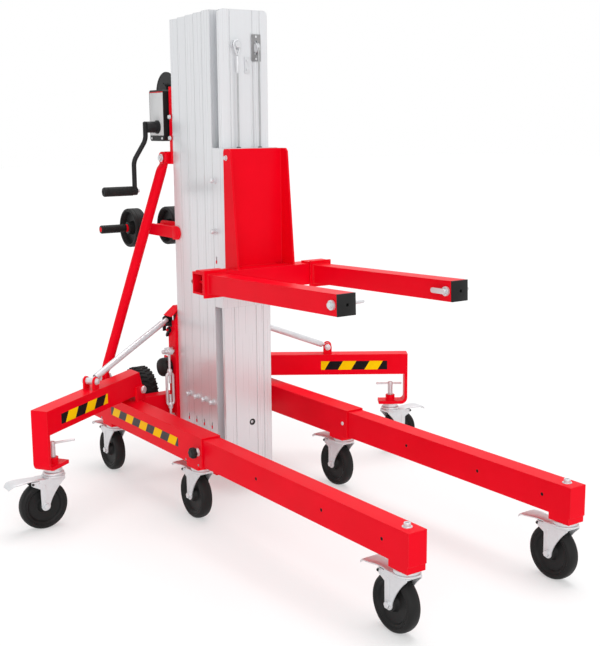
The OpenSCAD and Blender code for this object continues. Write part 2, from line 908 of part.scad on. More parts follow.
module front_sheave() {
  r = sheave_d / 2 - sheave_groove;
  edge = sheave_t / 2;
  color(zinc) translate([sheave_x, mast_front_y - sheave_out, sheave_z]) rotate([0, 90, 0])
    rotate_extrude() difference() {
      translate([sheave_axle_d / 2 + fit, -edge]) square([sheave_d / 2 - sheave_axle_d / 2 - fit, sheave_t]);
      translate([r + cable_d / 2, 0]) circle(d = cable_d);
      translate([r + cable_d / 2, -cable_d / 2]) square([cable_d, cable_d]);
    }
}

// Two strands of steel rope from the front section down to the carriage
module lift_cable() {
  low = carriage_z + carriage_h;
  tangent = sheave_out + sheave_d / 2 - sheave_groove + cable_d / 2 + gap;
  color(zinc) {
    translate([cable_x, mast_front_y - cable_out, low])
      cylinder(d = cable_d, h = anchor_z - anchor_d / 2 - gap - low);
    translate([sheave_x, mast_front_y - tangent, low]) cylinder(d = cable_d, h = sheave_z - low);
  }
}

// Carriage and fork frame

module carriage() {
  inner = mast_w - 2 * carriage_wall;
  front = carriage_d - wrap_d - carriage_wall;
  front_up = bar_up - bar_h / 2;
  color(alu) translate([0, carriage_y, carriage_z]) difference() {
    union() {
      linear_extrude(carriage_h) difference() {
        translate([-mast_w / 2, -wrap_d]) square([mast_w, wrap_d]);
        track_outline();
      }
      // hollow box behind the fork frame, into which the ropes run
      translate([0, 0, front_up]) linear_extrude(carriage_h - front_up) difference() {
        translate([-mast_w / 2, -carriage_d]) square([mast_w, carriage_d - wrap_d + section_wall / 2]);
        translate([-inner / 2, -carriage_d + carriage_wall]) square([inner, front]);
      }
      translate([-mast_w / 2, -carriage_d, carriage_h - carriage_lid_t])
        cube([mast_w, carriage_d - wrap_d + section_wall / 2, carriage_lid_t]);
    }
    for (x = [-mast_w / 2, mast_w / 2])
      translate([x - section_wall - cut, -track_slot_back - track_slot_w / 2, carriage_slot_up])
        cube([2 * (section_wall + cut), track_slot_w, track_slot_h]);
  }
}

module fork_frame() {
  color(red) {
    difference() {
      union() {
        translate([-back_w / 2, frame_y, bar_z - bar_h / 2]) rotate([90, 0, 0]) linear_extrude(plate_t)
          round_rect(back_w, back_h + bar_h / 2, gusset_round);
        translate([-packer_w / 2, bar_y, bar_z - bar_h / 2]) cube([packer_w, packer_t, bar_h]);
        fork_bar();
        for (x = [-back_w / 2, back_w / 2 - gusset_t]) translate([x, frame_y - plate_t, bar_top]) gusset();
      }
      for (s = [-1, 1]) fork_bar_slot(s);
    }
  }
}

module fork_bar() {
  translate([-bar_l / 2, bar_y - bar_d / 2, bar_z]) rotate([0, 0, -90])
    tube_y(bar_d, bar_h, bar_l, bar_wall);
}

// Long hole through both walls of the fork bar in which the clamp stud slides
module fork_bar_slot(s) {
  x0 = fork_x + stud_out;
  h = stud_d + 2 * gap;
  translate([0, bar_y - bar_d - cut, bar_z]) {
    for (x = [x0, x0 - slot_travel]) translate([s * x, 0, 0]) along_y(h, bar_d + 2 * cut);
    translate([s * (x0 - slot_travel / 2) - slot_travel / 2, 0, -h / 2])
      cube([slot_travel, bar_d + 2 * cut, h]);
  }
}

// Tapered side plate of the fork frame
module gusset() {
  h = back_h - bar_h / 2;
  rotate([90, 0, 90]) linear_extrude(gusset_t) polygon([
    [plate_t / 2, -cut], [-gusset_low, -cut], [-gusset_low, 0], [-gusset_top, h - gusset_round],
    [-gusset_top + gusset_round, h], [plate_t / 2, h]
  ]);
}

// Runs its children in the frame of one fork tube: origin at the clamp plate, -Y along the tube
module in_fork(hand) {
  s = hand == "right" ? 1 : -1;
  translate([s * fork_x, fork_y, bar_z]) rotate([-fork_tilt, 0, 0]) children();
}

module fork_arm(hand) {
  s = hand == "right" ? 1 : -1;
  outer = fork_x + clamp_out;
  stud_x = s * (fork_x + stud_out);
  weld_side = fork_side + fork_weld;
  color(red) {
    difference() {
      union() {
        translate([s * (outer - clamp_w / 2) - clamp_w / 2, fork_y, bar_z - clamp_h / 2])
          cube([clamp_w, clamp_t, clamp_h]);
        in_fork(hand) translate([0, -fork_tip, 0])
          tube_y(fork_side, fork_side, fork_tip + clamp_t / 2, fork_wall);
        in_fork(hand) translate([0, -fork_weld, 0])
          tube_y(weld_side, weld_side, fork_weld + clamp_t / 2, fork_wall + fork_weld / 2);
        translate([s * (outer - clamp_lip_w / 2) - clamp_lip_w / 2, clamp_y - clamp_t / 2, bar_top + gap])
          cube([clamp_lip_w, clamp_lip + clamp_t / 2, clamp_lip_t]);
      }
      in_fork(hand) translate([0, pin_back - fork_l, 0]) middle_x(pin_d + 2 * fit, fork_side + 2 * cut);
    }
    // clamp stud and its hand knob behind the fork bar
    translate([stud_x, fork_y + clamp_t / 2, bar_z])
      along_y(stud_d, bar_d + clamp_t / 2 + 2 * gap + clamp_knob_h / 2);
    translate([stud_x, bar_y + gap, bar_z]) rotate([-90, 0, 0]) star_knob(clamp_knob_d, clamp_knob_h);
  }
}

module fork_cap(hand) {
  plug = fork_side - 2 * (fork_wall + gap);
  color(black) in_fork(hand) difference() {
    union() {
      translate([-fork_side / 2, -fork_l, -fork_side / 2]) cube([fork_side, cap_t, fork_side]);
      translate([-plug / 2, -fork_l + cap_t / 2, -plug / 2]) cube([plug, cap_plug, plug]);
    }
    translate([0, -fork_l - cut, 0]) along_y(cap_hole_d, cap_t + cap_plug + cut);
  }
}

// Locking pin: both pins enter from the -X side
module fork_pin(hand) {
  color(zinc) in_fork(hand) translate([-fork_side / 2, pin_back - fork_l, 0]) {
    along_x(pin_d, fork_side + pin_tail);
    translate([-gap - pin_head_t, 0, 0]) along_x(pin_head_d, pin_head_t);
    translate([-gap - pin_head_t, 0, 0]) along_x(pin_d, pin_head_t + gap);
    translate([-gap - pin_head_t - pin_ring_d, 0, 0]) along_x(pin_d + pin_ring_d / 2, pin_ring_d);
  }
}

// Outriggers. Their own frame has its origin on the hinge, +X outward along the arm and +Y forward

module at_hinge() {
  translate([hinge_x, hinge_y, hinge_z]) rotate([0, 0, 180 + arm_angle]) children();
}

module at_outrigger(hand) {
  on_side(hand) at_hinge() children();
}

module outrigger(hand) {
  color(red) on_side(hand) difference() {
    at_hinge() union() {
      translate([-arm_tail, 0, leaf_top - arm_h / 2]) rotate([0, 0, -90])
        tube_y(arm_w, arm_h, arm_tail + arm_l - leaf_t / 2, arm_wall);
      translate([-arm_tail, -arm_w / 2, -arm_low]) cube([arm_plug, arm_w, arm_h]);
      outrigger_leaf();
      translate([jack_u, 0, foot_low + leaf_t / 2]) cylinder(d = boss_d, h = boss_h + leaf_t / 2);
      stay_tab();
    }
    at_hinge() middle_y(hinge_d + 2 * fit, arm_w + 2 * cut);
    at_hinge() translate([jack_u, 0, foot_low - cut])
      cylinder(d = jack_d + 2 * fit, h = boss_h + leaf_t + 2 * cut);
    arm_mitre();
  }
}

// Wedge that trims the inner end of the arm in line with the leg, sloping inward to its lower edge
module arm_mitre() {
  translate([hinge_x, hinge_y + arm_w, hinge_z]) rotate([90, 0, 0]) linear_extrude(2 * arm_w) polygon([
    [mitre_top, leaf_top + cut], [mitre_low, -arm_low - cut], [2 * arm_w, -arm_low - cut],
    [2 * arm_w, leaf_top + cut]
  ]);
}

// Flat bar that closes the arm, runs down and bends inward into the foot
module outrigger_leaf() {
  bend_z = foot_low + leaf_t + leaf_bend;
  bend_u = arm_l - leaf_t - leaf_bend;
  translate([arm_l - leaf_t, -arm_w / 2, bend_z]) cube([leaf_t, arm_w, leaf_top - bend_z]);
  translate([bend_u, arm_w / 2, bend_z]) rotate([90, 0, 0]) rotate([0, 0, -90])
    rotate_extrude(angle = 90) translate([leaf_bend, 0]) square([leaf_t, arm_w]);
  translate([arm_l - foot_l, -arm_w / 2, foot_low]) cube([bend_u - arm_l + foot_l, arm_w, leaf_t]);
}

// Two ears and a pin on top of the arm that carry the foot of the stay
module stay_tab() {
  half = tab_gap / 2;
  z = leaf_top + tab_up;
  translate([stay_u, 0, 0]) {
    for (v = [-half - tab_t, half]) translate([0, v, 0]) {
      translate([-tab_d / 2, 0, leaf_top - arm_wall / 2]) cube([tab_d, tab_t, tab_up + arm_wall / 2]);
      translate([0, 0, z]) along_y(tab_d, tab_t);
    }
    translate([0, 0, z]) middle_y(tab_pin_d, tab_gap + 4 * tab_t);
  }
}

// Place of the stay's two ends on the left side
function stay_foot() = [
  hinge_x - stay_u * cos(arm_angle), hinge_y - stay_u * sin(arm_angle), hinge_z + leaf_top + tab_up
];
function stay_head() = [-mast_w / 2 - cradle_out, mast_y + cradle_back, cradle_z];

module stay(hand) {
  a = stay_foot();
  b = stay_head();
  dir = (b - a) / norm(b - a);
  color(zinc) on_side(hand) difference() {
    union() {
      translate(a) rotate([0, 0, 180 + arm_angle]) middle_y(eye_d, tab_gap - 2 * gap);
      rod(a, a + dir * 2 * stay_neck_l, stay_neck_d);
      rod(a + dir * stay_neck_l, b, stay_d);
    }
    translate(a) rotate([0, 0, 180 + arm_angle]) middle_y(tab_pin_d + 2 * fit, tab_gap + 2 * cut);
  }
}

module jack(hand) {
  low = caster_h + gap - hinge_z;
  top = foot_low + leaf_t + boss_h + jack_top / 2;
  slid = hand == "left" ? tbar_shift : tbar_shift / 5;
  color(zinc) at_outrigger(hand) translate([jack_u, 0, 0]) difference() {
    union() {
      translate([0, 0, low]) cylinder(d = jack_d, h = top - low);
      translate([0, 0, low]) cylinder(d = jack_disc_d, h = foot_low - gap - low);
      translate([0, 0, top - tbar_down]) rotate([0, 0, -arm_angle]) translate([-slid, 0, 0])
        middle_x(tbar_d, tbar_l);
    }
    translate([0, 0, low - cut]) cylinder(d = stem_d + 2 * fit, h = stem_l + cut + gap);
  }
}

module latch_outline() {
  circle(d = latch_w + latch_t);
  rotate([0, 0, latch_lean]) translate([-latch_w / 2, -latch_tail]) square([latch_w, latch_tail]);
  translate([-latch_w / 2 - latch_out, 0]) square([latch_w / 2, latch_hook / 2]);
}

module latch(hand) {
  x = -post_w / 2 - gap - latch_t;
  color(black) on_side(hand) translate([x, mast_y + cradle_back, latch_z - latch_w])
    rotate([90, 0, 90]) linear_extrude(latch_t) difference() {
      latch_outline();
      circle(d = latch_pin_d + 2 * fit);
    }
}

// Winch

module winch_bracket() {
  h = bracket_high - bracket_low;
  color(red) {
    translate([-mast_w / 2, mast_y, bracket_low]) cube([mast_w, bracket_t, h]);
    for (x = [-mast_w / 2, mast_w / 2 - bracket_t])
      translate([x, mast_y + bracket_t / 2, bracket_low]) cube([bracket_t, bracket_flange, h]);
    for (hand = hands) on_side(hand) brace_lug();
  }
}

// Block that the top of the brace is bolted to
module brace_lug() {
  y = mast_y + brace_top_back;
  translate([-lug_x, 0, brace_top_z]) difference() {
    union() {
      translate([0, mast_y + bracket_t / 2, -lug_tall / 2]) cube([lug_in, brace_top_back, lug_tall]);
      translate([0, y, 0]) along_x(lug_tall, lug_in);
    }
    translate([-cut, y, 0]) along_x(brace_bolt_d + 2 * fit, lug_in + 2 * cut);
  }
}

module brace_struts() {
  color(red) for (hand = hands) on_side(hand) {
    low = [-leg_x, mast_y + brace_low_back, leg_top + brace_low_up];
    high = [-lug_x - gap - brace_eye_t / 2, mast_y + brace_top_back, brace_top_z];
    dir = (high - low) / norm(high - low);
    rod(low + dir * brace_taper, high - dir * brace_taper, brace_d);
    brace_end(low, dir, lug_t + brace_eye_t / 2 + gap);
    brace_end(high, -dir, lug_in / 2 + brace_eye_t / 2);
  }
}

// Flattened end of a bracing tube with its bolt
module brace_end(p, dir, bolt) {
  rim = p + [0, dir[1], dir[2]] * brace_eye_d * brace_rim_share;
  rod(rim, p + dir * 2 * brace_taper, brace_neck_d);
  translate(p) middle_x(brace_eye_d, brace_eye_t);
  translate(p) middle_x(brace_bolt_d, 2 * bolt);
}

module winch_casing() {
  w = case_x1 - case_x0;
  color(black) {
    difference() {
      union() {
        translate([-case_x1, mast_y + case_y0, case_low]) rotate([90, 0, 90]) linear_extrude(w)
          round_rect(case_y1 - case_y0, case_high - case_low, case_round);
        for (x = [-case_x0, case_x0 - rack_t]) translate([x, 0, 0]) winch_rack();
        translate([-case_x0, mast_y + bracket_t, rack_low])
          cube([2 * case_x0, rack_t, bracket_high - rack_low]);
        translate([-case_x1 / 2 - case_x0 / 2, mast_y + bracket_t, case_low + case_round])
          cube([w / 2 + rack_t, case_y0 - bracket_t + rack_t, rack_low - case_low]);
      }
      translate([-case_x1 - cut, mast_y + crank_back, crank_z])
        along_x(crank_shaft_d + 2 * fit, crank_shaft_in + gap + cut);
    }
  }
}

// One side plate of the winch with the bore of the drum shaft
module winch_rack() {
  difference() {
    union() {
      translate([0, mast_y + bracket_t, rack_low]) cube([rack_t, drum_back - bracket_t, drum_z - rack_low]);
      translate([0, mast_y + drum_back, drum_z]) along_x(rack_round_d, rack_t);
    }
    translate([-cut, mast_y + drum_back, drum_z]) along_x(drum_shaft_d + 2 * fit, rack_t + 2 * cut);
  }
}

module winch_drum() {
  color(black) translate([0, mast_y + drum_back, drum_z]) {
    middle_x(drum_core_d, 2 * drum_half);
    for (x = [-drum_half, drum_half - cheek_t]) translate([x, 0, 0]) along_x(drum_d, cheek_t);
    middle_x(drum_shaft_d, 2 * case_x0);
  }
}

// Cranked handle arm: shaft, hub, arm with its outward step, and the pin of the grip
module crank() {
  hub_x = -case_x1 - gap;
  arm_x = hub_x - crank_hub_l;
  low_x = arm_x - crank_step;
  elbow_z = -crank_r * crank_bend_share;
  knee_z = -crank_r * crank_low_share;
  ball = crank_rod_d * crank_ball_share;
  color(black) translate([0, mast_y + crank_back, crank_z]) {
    translate([hub_x, 0, 0]) along_x(crank_shaft_d, crank_shaft_in);
    translate([hub_x - crank_flange_t, 0, 0]) along_x(crank_flange_d, crank_flange_t);
    translate([arm_x - crank_rod_d / 2, 0, 0]) along_x(crank_hub_d, crank_hub_l + crank_rod_d / 2);
    rod([arm_x, 0, 0], [arm_x, 0, elbow_z], crank_rod_d);
    rod([arm_x, 0, elbow_z], [low_x, 0, knee_z], crank_rod_d);
    rod([low_x, 0, knee_z], [low_x, 0, -crank_r], crank_rod_d);
    for (p = [[arm_x, 0, elbow_z], [low_x, 0, knee_z], [low_x, 0, -crank_r]]) translate(p) sphere(d = ball);
    translate([low_x - grip_l - gap - crank_rod_d / 2 - grip_end_t, 0, -crank_r])
      along_x(grip_pin_d, grip_l + gap + crank_rod_d / 2 + grip_end_t + crank_rod_d);
    translate([low_x - grip_l - 2 * gap - crank_rod_d / 2 - grip_end_t, 0, -crank_r])
      along_x(grip_end_d, grip_end_t);
  }
}

module crank_grip() {
  low_x = -case_x1 - gap - crank_hub_l - crank_step;
  l = grip_l - gap;
  color(rubber) translate([low_x - crank_rod_d / 2 - gap - l, mast_y + crank_back, crank_z - crank_r])
    rotate([0, 90, 0]) rotate_extrude() difference() {
      translate([grip_pin_d / 2 + fit, 0]) square([grip_d / 2 - grip_pin_d / 2 - fit, l]);
      translate([grip_d / 2, l / 2]) square([grip_end_t, grip_end_t], center = true);
    }
}

// Upper loading wheels

module loading_bracket() {
  tip = load_arm_x + load_arm_t;
  collar = tip + load_hub_w + 2 * gap;
  color(red) translate([0, mast_y, load_z]) {
    translate([-load_plate_w / 2, 0, -load_plate_h / 2]) cube([load_plate_w, load_plate_t, load_plate_h]);
    for (x = [-tip, load_arm_x]) {
      translate([x, load_plate_t / 2, -load_arm_h / 2])
        cube([load_arm_t, load_reach - load_plate_t / 2, load_arm_h]);
      translate([x, load_reach, 0]) along_x(load_arm_h, load_arm_t);
    }
    translate([0, load_reach, 0]) {
      middle_x(load_axle_d, 2 * (collar + load_collar_t + load_grip_l));
      for (x = [-collar - load_collar_t, collar]) translate([x, 0, 0]) along_x(load_collar_d, load_collar_t);
    }
  }
}

module loading_wheel(hand) {
  x = load_arm_x + load_arm_t + gap + load_hub_w / 2;
  color(rubber) on_side(hand) translate([-x, mast_y + load_reach, load_z]) rotate([0, 90, 0])
    rotate_extrude() wheel_outline(load_d, load_w, load_hub_d, load_hub_w,
      load_axle_d + 2 * fit, load_rim_t, load_web_t);
}

module loading_grips() {
  start = load_arm_x + load_arm_t + load_hub_w + 2 * gap + load_collar_t;
  color(rubber) for (hand = hands) on_side(hand)
    translate([-start - load_grip_l, mast_y + load_reach, load_z]) difference() {
      along_x(load_grip_d, load_grip_l);
      translate([-cut, 0, 0]) along_x(load_axle_d + 2 * fit, load_grip_l + 2 * cut);
    }
}

// Treaded rear wheels

module rear_wheel(hand) {
  r = tyre_d / 2;
  half = tyre_w / 2;
  inner = r - tyre_wall;
  hub = tyre_hub_d / 2;
  color(rubber) on_side(hand) translate([-tyre_x, mast_y + tyre_y, tyre_z]) rotate([0, 90, 0]) difference() {
    rotate_extrude() polygon([
      [tyre_axle_d / 2 + fit, -tyre_hub_w / 2], [hub - rim_round, -tyre_hub_w / 2], [hub, -web_t],
      [inner - rim_round, -web_t], [inner, -half + tyre_shoulder / 2], [r - tyre_shoulder, -half],
      [r, -half + tyre_shoulder], [r, half - tyre_shoulder], [r - tyre_shoulder, half],
      [inner, half - tyre_shoulder / 2], [inner - rim_round, web_t], [hub, web_t],
      [hub - rim_round, tyre_hub_w / 2], [tyre_axle_d / 2 + fit, tyre_hub_w / 2]
    ]);
    for (i = [0 : tread_count - 1]) rotate([0, 0, i * 360 / tread_count])
      for (z = [-half - cut, tyre_shoulder / 2])
        translate([r - tread_t, -tread_w / 2, z])
          cube([tread_t + cut, tread_w, half - tyre_shoulder / 2 + cut]);
  }
}

for (hand = hands) {
  leg_tube(hand);
  leg_extension(hand);
  index_knob(hand);
  fork_arm(hand);
  fork_cap(hand);
  fork_pin(hand);
  outrigger(hand);
  stay(hand);
  jack(hand);
  latch(hand);
  loading_wheel(hand);
  rear_wheel(hand);
  for (place = places) {
    caster_fork(place, hand);
    caster_wheel(place, hand);
  }
}
for (i = [1 : section_count])
  mast_section(i);
base_beam();
turnbuckles();
cable_fittings();
front_sheave();
lift_cable();
carriage();
fork_frame();
winch_bracket();
winch_casing();
winch_drum();
crank();
crank_grip();
brace_struts();
loading_bracket();
loading_grips();
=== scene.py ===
# %% [markdown]
# A material hoist: five nested aluminium mast sections on a red steel base, with a winch, a
# carriage and two load forks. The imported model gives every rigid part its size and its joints,
# so this lesson only adds finishes and the pieces that are too fine or too curved for it.

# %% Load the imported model
import json
import math

import bmesh
import bpy
from mathutils import Matrix, Vector


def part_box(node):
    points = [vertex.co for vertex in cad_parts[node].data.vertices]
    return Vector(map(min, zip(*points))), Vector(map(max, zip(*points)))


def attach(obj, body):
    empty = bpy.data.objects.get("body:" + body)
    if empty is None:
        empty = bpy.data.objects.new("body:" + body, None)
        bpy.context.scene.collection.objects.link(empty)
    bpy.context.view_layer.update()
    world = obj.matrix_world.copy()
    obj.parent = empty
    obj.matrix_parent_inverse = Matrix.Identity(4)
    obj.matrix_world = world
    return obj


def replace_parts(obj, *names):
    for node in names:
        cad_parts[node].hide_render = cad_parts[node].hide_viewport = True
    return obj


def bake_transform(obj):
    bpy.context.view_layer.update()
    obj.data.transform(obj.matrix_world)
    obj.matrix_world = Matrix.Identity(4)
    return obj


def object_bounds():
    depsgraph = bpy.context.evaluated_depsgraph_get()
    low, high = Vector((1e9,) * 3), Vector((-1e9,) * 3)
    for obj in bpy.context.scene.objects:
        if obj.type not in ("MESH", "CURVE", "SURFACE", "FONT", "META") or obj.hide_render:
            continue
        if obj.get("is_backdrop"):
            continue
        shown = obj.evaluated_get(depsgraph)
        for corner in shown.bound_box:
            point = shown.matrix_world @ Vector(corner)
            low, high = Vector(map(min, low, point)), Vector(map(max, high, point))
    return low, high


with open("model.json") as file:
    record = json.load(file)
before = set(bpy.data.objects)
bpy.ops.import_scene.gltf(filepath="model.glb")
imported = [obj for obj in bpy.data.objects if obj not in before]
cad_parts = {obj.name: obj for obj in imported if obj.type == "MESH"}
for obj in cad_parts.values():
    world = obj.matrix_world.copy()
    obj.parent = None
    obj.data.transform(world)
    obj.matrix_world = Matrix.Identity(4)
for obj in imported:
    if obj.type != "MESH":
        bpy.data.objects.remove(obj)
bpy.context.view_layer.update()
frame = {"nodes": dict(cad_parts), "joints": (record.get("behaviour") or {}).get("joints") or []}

mm = 0.001
nodes = frame["nodes"]
hands = {"left": -1, "right": 1}
pivot = {j["name"]: Vector(j["pos_m"]) for j in frame["joints"] if "pos_m" in j}

# %% [markdown]
# The camera stands where the photograph was taken from: low, in front of the left leg. Its place and
# angles were worked out from the legs' vanishing lines, and the lens follows from the focal
# length in pixels and the long side of the picture.

# %% Camera
camera_place = Vector((-1.9979, -2.9733, 1.2875))
camera_turn, camera_dip, camera_roll = (math.radians(a) for a in (-34.6624, 10.2515, -0.4477))
focal_pixels, picture_height = 1102.76, 646
sensor = 36


def camera_axes():
    """The camera's right, up and backward directions."""
    level = math.cos(camera_dip)
    east, north = math.cos(camera_turn), math.sin(camera_turn)
    ahead = Vector((-north * level, east * level, -math.sin(camera_dip)))
    right = Vector((east, north, 0))
    up = right.cross(ahead)
    c, s = math.cos(camera_roll), math.sin(camera_roll)
    return right * c + up * s, up * c - right * s, -ahead


lens = bpy.data.cameras.new("camera")
lens.sensor_width = sensor
lens.lens = focal_pixels / picture_height * sensor
camera = bpy.data.objects.new("camera", lens)
camera.matrix_world = Matrix.Translation(camera_place) @ Matrix(camera_axes()).transposed().to_4x4()
bpy.context.scene.collection.objects.link(camera)
bpy.context.scene.camera = camera
bpy.context.scene.view_settings.view_transform = "Standard"
print("lens", round(lens.lens, 2), "mm")

# %% [markdown]
# Shader maths reads best as plain expressions, so one small class wraps a socket: adding or
# multiplying two of them adds the Math node for it. A finish is a material with one main shader,
# and a single method adds every other kind of node.

# %% Sockets as values


class Wire:
    """A socket of a material. Python's operators on it add Math nodes."""

    def __init__(self, finish, socket):
        self.finish = finish
        self.socket = socket

    def math(self, operation, *values):
        inputs = dict(enumerate(values))
        return self.finish.node("ShaderNodeMath", {"operation": operation}, inputs)

    def __add__(self, other):
        return self.math("ADD", self, other)

    def __sub__(self, other):
        return self.math("SUBTRACT", self, other)

    def __rsub__(self, other):
        return self.math("SUBTRACT", other, self)

    def __mul__(self, other):
        return self.math("MULTIPLY", self, other)

    def __mod__(self, other):
        return self.math("FLOORED_MODULO", self, other)

    def __rmod__(self, other):
        return self.math("FLOORED_MODULO", other, self)

    def __gt__(self, other):
        return self.math("GREATER_THAN", self, other)

    def __lt__(self, other):
        return self.math("LESS_THAN", self, other)

    __radd__ = __add__
    __rmul__ = __mul__


print("sockets can be added, subtracted, multiplied, wrapped and compared")

# %% [markdown]
# Every finish starts from the same three things: where a point is on the piece, a noise, and a mask of
# the sharp edges. The mask compares the true surface with a rounded copy of it, so a colour can be laid
# along the corners of the imported tubes without a change to their meshes: worn paint and a painted
# highlight on the red, painted shade on the aluminium and a lighter tone on the black coats.

# %% Finishes
edge_gain = 4


class Finish:
    """A material with one main shader and a short way to add nodes in front of it."""

    def __init__(self, name, **fixed):
        self.material = bpy.data.materials.new(name)
        self.material.use_nodes = True
        self.tree = self.material.node_tree
        self.shader = self.tree.nodes["Principled BSDF"]
        self.set(**fixed)

    def feed(self, socket, value):
        if isinstance(value, Wire):
            self.tree.links.new(value.socket, socket)
        elif hasattr(value, "__len__") and len(value) == 3 and socket.type == "RGBA":
            socket.default_value = (*value, 1)
        else:
            socket.default_value = value

    def node(self, kind, settings=None, inputs=None, output=0):
        made = self.tree.nodes.new(kind)
        for name, value in (settings or {}).items():
            setattr(made, name, value)
        for key, value in (inputs or {}).items():
            self.feed(made.inputs[key], value)
        return Wire(self, made.outputs[output])

    def set(self, **values):
        for name, value in values.items():
            self.feed(self.shader.inputs[name.replace("_", " ")], value)

    def mix(self, share, a, b):
        """A colour between a and b."""
        return self.node("ShaderNodeMix", {"data_type": "RGBA"}, {0: share, 6: a, 7: b}, 2)

    def where(self, stretch=(1, 1, 1)):
        """The point on the piece, in its own metres, stretched along its axes."""
        point = self.node("ShaderNodeTexCoord", output="Object")
        return self.node("ShaderNodeVectorMath", {"operation": "MULTIPLY"}, {0: point, 1: stretch})

    def noise(self, scale, detail=2, stretch=(1, 1, 1)):
        inputs = {"Vector": self.where(stretch), "Scale": scale, "Detail": detail}
        return self.node("ShaderNodeTexNoise", inputs=inputs)

    def soft_edge(self, radius):
        """The surface direction with its sharp edges rounded off."""
        return self.node("ShaderNodeBevel", {"samples": 6}, {"Radius": radius})

    def edge_mask(self, rounded):
        """About 1 on a sharp edge and 0 on the flat."""
        flat = self.node("ShaderNodeNewGeometry", output="True Normal")
        how = {"operation": "DOT_PRODUCT"}
        same = self.node("ShaderNodeVectorMath", how, {0: rounded, 1: flat}, "Value")
        return (1 - same) * edge_gain

    def bumps(self, height, depth, normal=None):
        inputs = {"Height": height, "Distance": depth, "Strength": 1}
        if normal:
            inputs["Normal"] = normal
        self.set(Normal=self.node("ShaderNodeBump", inputs=inputs))


print("a finish can mix colours, add noise and find edges")

# %% [markdown]
# The steel is powder coated. Up close such a coat is never quite flat: it has the fine ripple called
# orange peel, drifts a little in tone, and is a touch thinner where it runs over an edge. There its
# colour is lighter, partly as wear and partly as a painted highlight. The rounded edge is shaded,
# because the imported tubes have square corners.

# %% Red powder coat
red_deep, red_full, red_edge_wear_and_highlight = (0.78, 0.0005, 0.010), (0.92, 0.001, 0.016), (0.95, 0.05, 0.06)


def red_coat():
    f = Finish("red_coat", Coat_Roughness=0.15, IOR=1.5, Specular_IOR_Level=0.05)
    drift = f.noise(7, 3)
    peel = f.noise(330, 2)
    rounded = f.soft_edge(3 * mm)
    colour = f.mix(drift, red_deep, red_full)
    # partly worn paint and partly painted highlight: the edges are mixed towards a lighter red
    f.set(Base_Color=f.mix(f.edge_mask(rounded) * 0.45, colour, red_edge_wear_and_highlight))
    f.set(Roughness=0.30 + 0.12 * drift, Coat_Weight=0.02 * f.noise(3))
    f.bumps(peel, 0.12 * mm, rounded)
    return f.material


red = red_coat()
print("red coat:", len(red.node_tree.nodes), "nodes")

# %% [markdown]
# Anodised aluminium is satin, almost white, and carries faint lines along the way it left the press.
# Stretching a noise a hundredfold along the height gives those lines from one texture. Its sharp edges
# are darkened as painted shade, so the narrow gaps between the sections show as dark lines.

# %% Aluminium


def mast_metal():
    f = Finish("satin_aluminium", Metallic=0.34, Specular_IOR_Level=0.3)
    lines = f.noise(260, 2, (1, 1, 0.006))
    cloud = f.noise(4, 3, (1, 1, 0.4))
    rounded = f.soft_edge(1.8 * mm)
    colour = f.mix(lines * 0.5 + cloud * 0.4, (0.70, 0.715, 0.735), (0.79, 0.805, 0.825))
    # painted shade: the sharp edges are mixed towards a dark grey
    f.set(Base_Color=f.mix(f.edge_mask(rounded) * 0.55, colour, (0.42, 0.42, 0.43)))
    f.set(Roughness=0.24 + 0.10 * lines)
    f.bumps(lines, 0.05 * mm, rounded)
    return f.material


aluminium = mast_metal()
print("mast metal:", len(aluminium.node_tree.nodes), "nodes")

# %% [markdown]
# Fasteners, casters and stays are zinc plated: bright and bluish, with a crystal-like mottling
# and small rubbed spots. The rope and the drum have the same metal, but dull and greyer, so one
# function makes all three.

# %% Zinc and rope metal


def plated(name, dark, light, grain, rough, metal):
    f = Finish(name, Metallic=metal, Specular_IOR_Level=0.3)
    cells = f.node("ShaderNodeTexVoronoi", {"feature": "F1"}, {"Vector": f.where(), "Scale": grain})
    cloud = f.noise(40, 3)
    rounded = f.soft_edge(0.8 * mm)
    f.set(Base_Color=f.mix(cloud * 0.8 + cells * 0.2, dark, light))
    f.set(Roughness=rough + 0.12 * cloud)
    f.bumps(f.noise(600), 0.008 * mm, rounded)
    return f.material


zinc = plated("bright_zinc", (0.60, 0.61, 0.63), (0.76, 0.77, 0.785),
              grain=160, rough=0.32, metal=0.5)
rope_metal = plated("rope_steel", (0.30, 0.305, 0.31), (0.55, 0.56, 0.57),
                    grain=900, rough=0.34, metal=0.7)
dark_steel = plated("dull_steel", (0.20, 0.20, 0.205), (0.36, 0.36, 0.365),
                    grain=200, rough=0.34, metal=0.6)
print("zinc, rope steel and dull steel")

# %% [markdown]
# The winch is painted black, the knobs and caps are moulded nylon and the tyres are rubber. All three
# are nearly the same black, so what tells them apart is the grain and the gloss. The bare plate on the
# winch is a plain coat too, and so is the dark red that stands as painted shade for the inside of the
# roof, so the same function serves them with other colours.

# %% Plain coats and rubber


def coat(name, dark, light, grain, depth, rough, spread, edge):
    f = Finish(name, IOR=1.48, Specular_IOR_Level=0.16)
    cloud = f.noise(22, 4)
    rounded = f.soft_edge(1.5 * mm)
    colour = f.mix(cloud, dark, light)
    f.set(Base_Color=f.mix(f.edge_mask(rounded) * edge, colour, (0.07, 0.07, 0.072)))
    f.set(Roughness=rough + spread * cloud)
    f.bumps(f.noise(grain, 3), depth, rounded)
    return f.material


